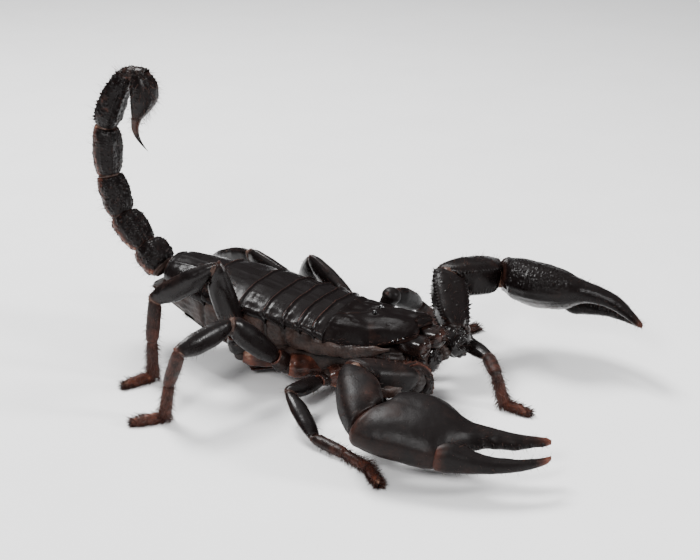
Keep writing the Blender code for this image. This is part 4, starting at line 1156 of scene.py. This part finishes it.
# profile, flatness, tint, bristles, their length, radius and lie
FOOT_PARTS = (
    (TIBIA, LEG_FLATNESS[2], 0.50, 150, 1.6, 0.045, 0.5),
    (BASITARSUS, LEG_FLATNESS[3], 0.60, 420, 1.8, 0.07, 0.75),
    (TELOTARSUS, LEG_FLATNESS[4], 0.74, 640, 1.7, 0.085, 0.9),
)


def add_foot(name, points, axes, planes, deeps, across, skin, coat):
    """Tibia, basitarsus and telotarsus with spines, bristles and two hooked claws."""
    foot, claws = Piece(), Piece()
    for part, (shape, flat, warm, hairs, hair_length, hair_radius, lie) in enumerate(FOOT_PARTS):
        axis, start, end = axes[part], points[part], points[part + 1]
        side = square_to(across, axis)
        if part == 2:
            side = facing(level_across(axis), across)
        deep = deeps[part] - 0.08
        profile = [(share, deep * scale * flat, deep * scale) for share, scale in shape]
        ends = (planes[part] if part == 0 else unit(planes[part] + axis), unit(planes[part + 1] + axis))
        grid = limb(start + axis * 0.1, end, profile, side, ends, 2.1, 54, 44)
        height = 0.08 * ridge(grid.angle, 90, 12) + 0.12 * bump(grid.share, 0.97, 0.03)
        height += 0.06 * noise(grid.points, 1.1, 90) + 0.06 * grains(grid.points, 0.45, 0.55, 91)
        emboss(grid, height)
        grid.points[..., 2] = np.maximum(grid.points[..., 2], 0.0)
        foot.close(grid.points, warm + 0.12 * noise(grid.points, 1.6, 92) + 0.14 * grid.share
                   + 0.12 * bump(grid.share, 0, 0.06))
        under = np.clip(-grid.normals[..., 2] + 0.45, 0, 1)
        coat.grow(grid, hairs, hair_length, hair_radius, 0.4 + grid.share + 1.4 * under, lie, 0.75, 0.42)
        if part:
            add_spines(claws, start, end, axis, side, deep)
        if part < 2:
            bead(skin, end, (deep * 0.62,) * 3, 0.45, 12, 20, 0.06)
    toe, axis = points[-1], axes[-1]
    side = level_across(axis)
    for aside in (-1, 1):
        direction = unit(axis + side * aside * 0.5 + UP * 0.25)
        thorn(claws, toe - axis * 0.35, direction, 2.3, 0.30, -UP * 0.36, 0.62, 0.12, 12, 10)
    thorn(claws, toe - axis * 0.3, axis - UP * 0.2, 0.9, 0.25, tint=0.6, tip_tint=0.3)
    foot.build(name + "tarsi", "tarsus", "red_tarsus", [name + "foot"])
    claws.build(name + "claws", "claw", "red_tarsus")


def add_spines(claws, start, end, axis, side, deep):
    """Two rows of short spines on a foot segment's lower side, above the floor."""
    down = -UP - axis * np.dot(-UP, axis)
    down = unit(down) if np.linalg.norm(down) > 0.2 else side
    for row in range(5):
        for aside in (-1, 1):
            root = start + (end - start) * (0.2 + 0.17 * row) + (down * 0.55 + side * aside * 0.5) * deep
            tip = root + down * 0.6 + side * aside * 0.55 + axis * 0.6
            if tip[2] > 0.05 and root[2] > 0.2:
                thorn(claws, root, tip - root, 1.1, 0.17, tint=0.6, tip_tint=0.2, rows=5, count=6)


# --------------------------------------------------------------- pedipalps
def plan_grid(origin, along, across, outline, rows, count, pose, wrist_plane=None, opening=0.0):
    """A grid whose plan outline and depth are given along its length, as in the solids."""
    rise = facing(np.cross(along, across), UP)
    hinge, hinge_side = FINGER_HINGE
    tip = HAND_OUTLINE[-1][0]
    turn = math.radians(opening)
    knots = np.array([row[0] for row in outline])
    distance = np.interp(np.linspace(0, len(knots) - 1, rows), np.arange(len(knots)), knots)
    distance = 0.5 * distance + 0.5 * np.linspace(knots[0], knots[-1], rows)
    low, high, half_deep = smooth(outline, distance).T
    middle, half = (low + high) / 2, (high - low) / 2
    axis = along * math.cos(turn) + across * math.sin(turn)
    side = across * math.cos(turn) - along * math.sin(turn)
    lift = pose["bow"] * np.sin(np.pi * step_up(distance, hinge, tip))
    lift = lift + smooth(pose["arch"], distance)[:, 0] if outline is HAND_OUTLINE else 0.35 * lift
    centre = (origin + along * hinge + across * hinge_side + np.outer(distance - hinge, axis)
              + np.outer(middle - hinge_side, side) + np.outer(lift, rise))
    angle = angles(count)
    c, s = np.cos(angle), np.sin(angle)
    reach = (abs(c) ** 2.2 + abs(s) ** 2.2) ** (-1 / 2.2)
    points = (centre[:, None] + side * (np.outer(half, c * reach))[..., None]
              + rise * (np.outer(half_deep, s * reach))[..., None])
    if wrist_plane is not None:
        mix = np.clip(distance / 9, 0, 1)[:, None]
        plane = wrist_plane * (1 - mix) + along * mix
        offset = points - origin - (along * distance[:, None])[:, None]
        points = points - along * ((offset * plane[:, None]).sum(-1) / (plane @ along)[:, None])[..., None]
    return SimpleNamespace(points=points, distance=distance[:, None] * np.ones(count),
                           angle=np.ones((rows, 1)) * angle, axis=axis, across=side, rise=rise)


def add_teeth(piece, grid, degrees, first, last, size):
    """Two rows of blunt dark teeth along a finger's cutting edge, every fifth one larger."""
    column = int(degrees / 360 * grid.points.shape[1])
    for number, place in enumerate(np.arange(first, last, 0.62)):
        row = int(np.argmin(abs(grid.distance[:, 0] - place)))
        outward = grid.normals[row, column]
        scale = size * (1.55 if number % 5 == 2 else 1.0)
        for aside in (-0.22, 0.22):
            root = grid.points[row, column] - outward * 0.3 + grid.rise * aside
            thorn(piece, root, outward, 0.55 * scale, 0.42 * scale, tint=0.24, rows=6)


def add_hand(side, origin, along, across, pose, wrist_plane, coat):
    """The swollen palm with its fixed finger, then the movable finger."""
    fineness = 0.68 if pose["satin"] else 1.0
    rows, count = int(250 * fineness), int(190 * fineness)
    grid = plan_grid(origin, along, across, HAND_OUTLINE, rows, count, pose, wrist_plane)
    d, angle = grid.distance, grid.angle
    top = np.clip(np.sin(angle), 0, 1)
    palm = step_up(d, 25, 20)
    granules = grains(grid.points, 0.92, 0.9, 101)
    fine = grains(grid.points, 0.7, 0.5, 103)
    upper = step_up(np.sin(angle - math.radians(24)), -0.05, 0.20)
    dorsal = upper * step_up(d, 1.5, 4.5) * np.clip((0.96 - top) / 0.1, 0.15, 1)
    height = (0.36 * granules * dorsal + 0.07 * fine * (1 - dorsal)) * palm * pose["grain"]
    height += palm * (0.15 + 0.85 * pose["grain"]) * ridges(
        angle, (0.22, 96, 9), (0.30, 24, 7), (0.24, 205, 7), (0.20, 225, 6), (0.12, 335, 7))
    height += (1 - palm) * (ridges(angle, (0.10, 60, 8), (0.12, 120, 8)) + 0.05 * fine)
    height += 0.30 * noise(grid.points, 6.5, 104) * palm + 0.05 * noise(grid.points, 1.5, 105)
    height += bumps(d, (0.45, 29.5, 1.0), (0.5, 33.6, 1.2), (0.35, 38.4, 1.3)) * ridge(angle, 0, 40)
    emboss(grid, height + 0.25 * bump(d, 1.0, 0.8))
    tint = (0.24 + 0.10 * pose["satin"] + 0.16 * noise(grid.points, 6.0, 106) - 0.10 * dorsal * palm
            + 0.55 * step_up(d, 41, 47) ** 2 + 0.22 * bump(d, 0, 1.4)
            + 0.34 * bump(d, 23.0, 2.6) * ridge(angle, 0, 24) + 0.12 * ridge(angle, -90, 50) * palm)
    piece = Piece()
    piece.close(grid.points, tint)
    add_teeth(piece, grid, 359, 25.5, 46, 0.9)
    surface = "satin" if pose["satin"] else "shell"
    piece.build("claw_hand_" + side, surface, "black_shell", ["hand_" + side])
    coat.grow(grid, 260, 1.3, 0.035, 0.3 + 2 * (1 - palm), lie=0.4)
    add_finger(side, origin, along, across, pose, surface, fineness, coat)


def add_finger(side, origin, along, across, pose, surface, fineness, coat):
    """The movable finger, on its hinge at the palm's outer corner."""
    rows, count = int(150 * fineness), int(110 * fineness)
    grid = plan_grid(origin, along, across, FINGER_OUTLINE, rows, count, pose, opening=pose["opening"])
    d, angle = grid.distance, grid.angle
    height = ridges(angle, (0.12, 60, 9), (0.14, 120, 9), (0.10, -60, 9))
    height = height * step_up(d, 24, 27) * step_up(d, 47, 42)
    height += 0.06 * grains(grid.points, 0.7, 0.5, 111) + 0.06 * noise(grid.points, 1.8, 112)
    emboss(grid, height + bumps(d, (0.4, 31.4, 1.0), (0.45, 36.2, 1.2)) * ridge(angle, 180, 40))
    piece = Piece()
    # the satin finger's extra tint is a painted sheen: it is tinted paler to stand in for its soft glossy
    # light
    piece.close(grid.points, 0.16 + 0.12 * pose["satin"] + 0.14 * noise(grid.points, 4.0, 113)
                + 0.50 * step_up(d, 40, 46) ** 2 + 0.28 * step_up(d, 21.5, 18.5))
    add_teeth(piece, grid, 180, 26.5, 45.5, 0.85)
    piece.build("claw_finger_" + side, surface, "brown_shell", ["finger_" + side])
    coat.grow(grid, 170, 1.3, 0.035, lie=0.4)


def arm_height(grid, i, grain, satin):
    """Height of a segment's keels, grains and lumps, with its folds and its bulge at the elbow."""
    share, angle = grid.share, grid.angle
    beads = 0.5 + 0.5 * np.cos(2 * np.pi * share * grid.length / 1.05)
    ends = step_up(share, 0, 0.08) * step_up(share, 1, 0.92)
    keels = sum(ridge(angle, degrees, 6) for degrees in ARM_KEELS)
    keels = keels * (0.12 + 0.42 * beads) * (0.01 + grain ** 2)
    height = keels * ends * (0.8 if i else 0.4 * grain ** 2)
    rough = (0.34, 0.12, 0.10)[i] * 1.3 * (grain if i else 1.0)
    height += rough * grains(grid.points, 0.95, 0.18 if i else 0.5, 120 + i) * ends
    height += (0.14, 0.05, 0.10)[i] * noise(grid.points, 3.4, 124) + 0.25 * bump(share, 0.965, 0.03)
    folds = below = 0.0
    if i == 0:
        ripple = share + 0.02 * noise(grid.points, 2.6, 128)
        folds = bumps(ripple, (1, 0.4, 0.035), (1, 0.6, 0.035), (1, 0.8, 0.035)) * (1 - grain)
        height += 0.22 * noise(grid.points, 2.4, 127) * grain + 0.7 * folds
    if i == 1 and satin:
        below = ridge(angle, 90, 45) * bump(share, 0.78, 0.25)
        height += below
    return height, folds, below


def arm_tint(grid, i, satin, folds, below):
    """Tint: browner at the joints, in the folds and on the bulge at the elbow, with a painted reflection on
    the satin patella.
    """
    share, angle = grid.share, grid.angle
    tint = (0.16, 0.16, 0.18)[i] + 0.5 * (folds + below) + 0.08 * satin
    tint = tint + 0.11 * noise(grid.points, 4.0, 125) + 0.10 * np.clip(-np.sin(angle), 0, 1)
    if i > 0:
        tint += bumps(share, (0.30, 1.0, 0.04), (0.26, 0.0, 0.04))
    if i == 2:
        tint += 0.45 * bump(share, 0.08, 0.14) * np.clip(np.sin(angle), 0, 1)
        # painted reflection: a tan patch on the satin patella's inner face near the elbow
        tint += 0.55 * satin * ridge(angle, 180, 36) * bump(share, 0.3, 0.22)
    return tint


def add_pedipalp(side, skin, coat):
    """Knobbly trochanter, toothed femur, swollen patella and the hand."""
    sign, pose = SIDES[side], PEDIPALPS[side]
    grain, satin = pose["grain"], pose["satin"]
    places = (np.array(pose[key], float) for key in ("root", "femur", "elbow", "wrist", "swell"))
    root, hip, elbow, wrist, swell = places
    bearing, climb, roll = pose["hand"]
    along = heading(bearing, climb)
    across = facing(level_across(along), LEFT * sign)
    rise = facing(np.cross(along, across), UP)
    tilt = math.radians(roll)
    across = across * math.cos(tilt) - rise * math.sin(tilt)
    axes = [unit(hip - root), unit(elbow - hip), unit(wrist - elbow)]
    planes = [axes[0], *joint_planes([*axes, along])]
    # name, start, end, profile, squareness, shortening
    parts = (
        ("trochanter", root + swell, hip + swell, ARM_TROCHANTER, 2.3, 0.1),
        ("femur", hip, elbow, ARM_FEMUR, 2.5 + 0.9 * grain, 0.1),
        ("patella", elbow, wrist, ARM_PATELLA, 2.6 + 0.3 * grain, 0.9),
    )
    rows, count = (84, 90) if satin else (120, 130)
    for i, (part, start, end, profile, power, short) in enumerate(parts):
        grid = limb(start + axes[i] * 0.1, end - axes[i] * short, profile, level_across(axes[i]),
                    planes[i:i + 2], power, rows, count)
        height, folds, below = arm_height(grid, i, grain, satin)
        emboss(grid, height)
        piece = Piece()
        piece.close(grid.points, arm_tint(grid, i, satin, folds, below))
        if i == 1 and not satin:
            for degrees in ARM_KEELS:
                thorn_row(piece, grid, degrees, range(10, 115, 7), sink=0.25, lean=0.3, length=0.75,
                          growth=0.2, radius=0.34, rows=5, count=7)
        surface = "satin" if satin else "wet" if i == 0 else "shell"
        piece.build("claw_%s_%s" % (part, side), surface, "black_shell", ["pedipalp_%s_%s" % (side, part)])
        coat.grow(grid, 130, 1.7, 0.04, 0.4 + ridge(grid.angle, -90, 70), lie=0.3, tint=0.45)
    for joint, size, tint in ((root, 2.6, 0.4), (hip, 3.0, 0.28), (elbow, 3.3, 0.72)):
        bead(skin, joint, (size,) * 3, tint, 22, 40, 0.06)
    bead(skin, hip + swell * 0.6, (3.5,) * 3, 0.26, 30, 44, 0.04)
    if satin:
        under = unit(FORWARD * 0.5 - LEFT * 0.57 - UP * 0.65)
        fold = elbow - axes[1] * 7.8 + under * 3.1
        bead(skin, fold, (6.2, 3.2, 3.0), 0.52, 30, 44, 0.04, (axes[1], under, np.cross(axes[1], under)))
    cushion = wrist - axes[2] * 0.9 - LEFT * sign * 1.3 + FORWARD * 0.9 - UP * 0.8
    bead(skin, cushion, (3.6, 3.7, 2.6), 0.86, 30, 50, 0.03, square_axes(across, planes[3]))
    add_hand(side, wrist + along * (0.2 / along.dot(planes[3])), along, across, pose, planes[3], coat)


# -------------------------------------------------------------- the animal
def add_animal():
    """All pieces, in the order in which the bristles are drawn."""
    skin = Piece()
    body_coat, tail_coat, arm_coat = Coat(1), Coat(2), Coat(3)
    leg_coats = {"left": Coat(4), "right": Coat(5)}
    add_carapace(body_coat)
    add_eyes()
    add_tergites(body_coat)
    add_flanks(skin)
    add_pleural_folds(skin)
    add_sternites(body_coat)
    add_chelicerae(body_coat)
    add_leg_bases(skin, body_coat)
    add_pectines()
    add_tail(skin, tail_coat)
    for side in SIDES:
        add_pedipalp(side, skin, arm_coat)
        for number in LEG_LENGTHS:
            add_leg(side, number, skin, leg_coats[side])
    skin.build("soft_skin", "skin", "membrane", ["belly"])
    body_coat.build("bristles_body")
    tail_coat.build("bristles_tail")
    arm_coat.build("bristles_arms")
    for side, coat in leg_coats.items():
        coat.build("bristles_legs_" + side)


# ------------------------------------------------- floor, light and camera
FLOOR_SIZE = 8.0
FLOOR_GREYS = ((0.3, (0.93, 0.93, 0.93)), (0.7, (0.96, 0.96, 0.96)))
LIGHT_TARGET = (0, -55, 15)
# name: place in the animal's millimetres, size in metres, watts
LIGHTS = {
    "key": ((-510, -150, 370), 0.12, 3.0),
    "front": ((110, -560, 270), 0.10, 2.6),
    "back": ((130, 244, 574), 0.22, 7.0),
    "top": ((60, 0, 700), 1.4, 4.0),
}
WORLD_COLOUR = (0.93, 0.95, 1.0, 1.0)
WORLD_STRENGTH = 0.13
VIEW_BEARING = -60.24           # degrees from straight ahead of the animal, towards its right
VIEW_CLIMB = 22.89
VIEW_DISTANCE = 439.8
VIEW_TARGET = np.array([0.0, -50.0, 20.0])
VIEW_PAN, VIEW_TILT = 1.826, 1.116      # degrees by which the lens looks right of and above the target
LENS = 77.9


def to_frame(point):
    """A place in the animal's millimetres as a vector in the frame's metres."""
    return Vector(np.array(point, float) * MM + OFFSET)


def add_floor():
    """A plain pale floor, far larger than the view."""
    bpy.ops.mesh.primitive_plane_add(size=FLOOR_SIZE, location=(0, 0, 0))
    floor = bpy.context.object
    floor.name = "floor"
    material = bpy.data.materials.new("floor")
    material.use_nodes = True
    tree = material.node_tree
    shader = tree.nodes["Principled BSDF"]
    place = node(tree, "ShaderNodeTexCoord").outputs["Object"]
    cloud = node(tree, "ShaderNodeTexNoise", {"Vector": place, "Scale": 30.0, "Detail": 4.0}).outputs["Fac"]
    tree.links.new(ramp(tree, cloud, FLOOR_GREYS), shader.inputs["Base Color"])
    shader.inputs["Roughness"].default_value = 0.9
    shader.inputs["Specular IOR Level"].default_value = 0.1
    floor.data.materials.append(material)


def add_light(name, place, size, watts):
    """A square softbox aimed at the animal."""
    data = bpy.data.lights.new(name, "AREA")
    data.size = size
    data.energy = watts
    lamp = bpy.data.objects.new(name, data)
    lamp.location = to_frame(place)
    lamp.rotation_euler = (to_frame(LIGHT_TARGET) - lamp.location).to_track_quat("-Z", "Y").to_euler()
    bpy.context.scene.collection.objects.link(lamp)


def add_world():
    """An even pale surround."""
    world = bpy.data.worlds.new("studio")
    world.use_nodes = True
    background = world.node_tree.nodes["Background"]
    background.inputs["Color"].default_value = WORLD_COLOUR
    background.inputs["Strength"].default_value = WORLD_STRENGTH
    bpy.context.scene.world = world


def add_camera():
    """The camera, in front of and to the right of the animal and above it."""
    turn, rise = math.radians(VIEW_BEARING), math.radians(VIEW_CLIMB)
    back = np.array([math.sin(turn) * math.cos(rise), -math.cos(turn) * math.cos(rise), math.sin(rise)])
    right = np.array([math.cos(turn), math.sin(turn), 0.0])
    up = np.cross(back, right)
    look = unit(-back + right * math.tan(math.radians(VIEW_PAN)) + up * math.tan(math.radians(VIEW_TILT)))
    right = square_to(right, look)
    data = bpy.data.cameras.new("camera")
    data.lens = LENS
    data.sensor_width = 36.0
    data.clip_start = 0.01
    camera = bpy.data.objects.new("camera", data)
    turned = Matrix((right, np.cross(right, look), -look)).transposed().to_4x4()
    turned.translation = to_frame(VIEW_TARGET + back * VIEW_DISTANCE)
    camera.matrix_world = turned
    bpy.context.scene.collection.objects.link(camera)
    bpy.context.scene.camera = camera


add_animal()
add_floor()
for light_name, light in LIGHTS.items():
    add_light(light_name, *light)
add_world()
add_camera()
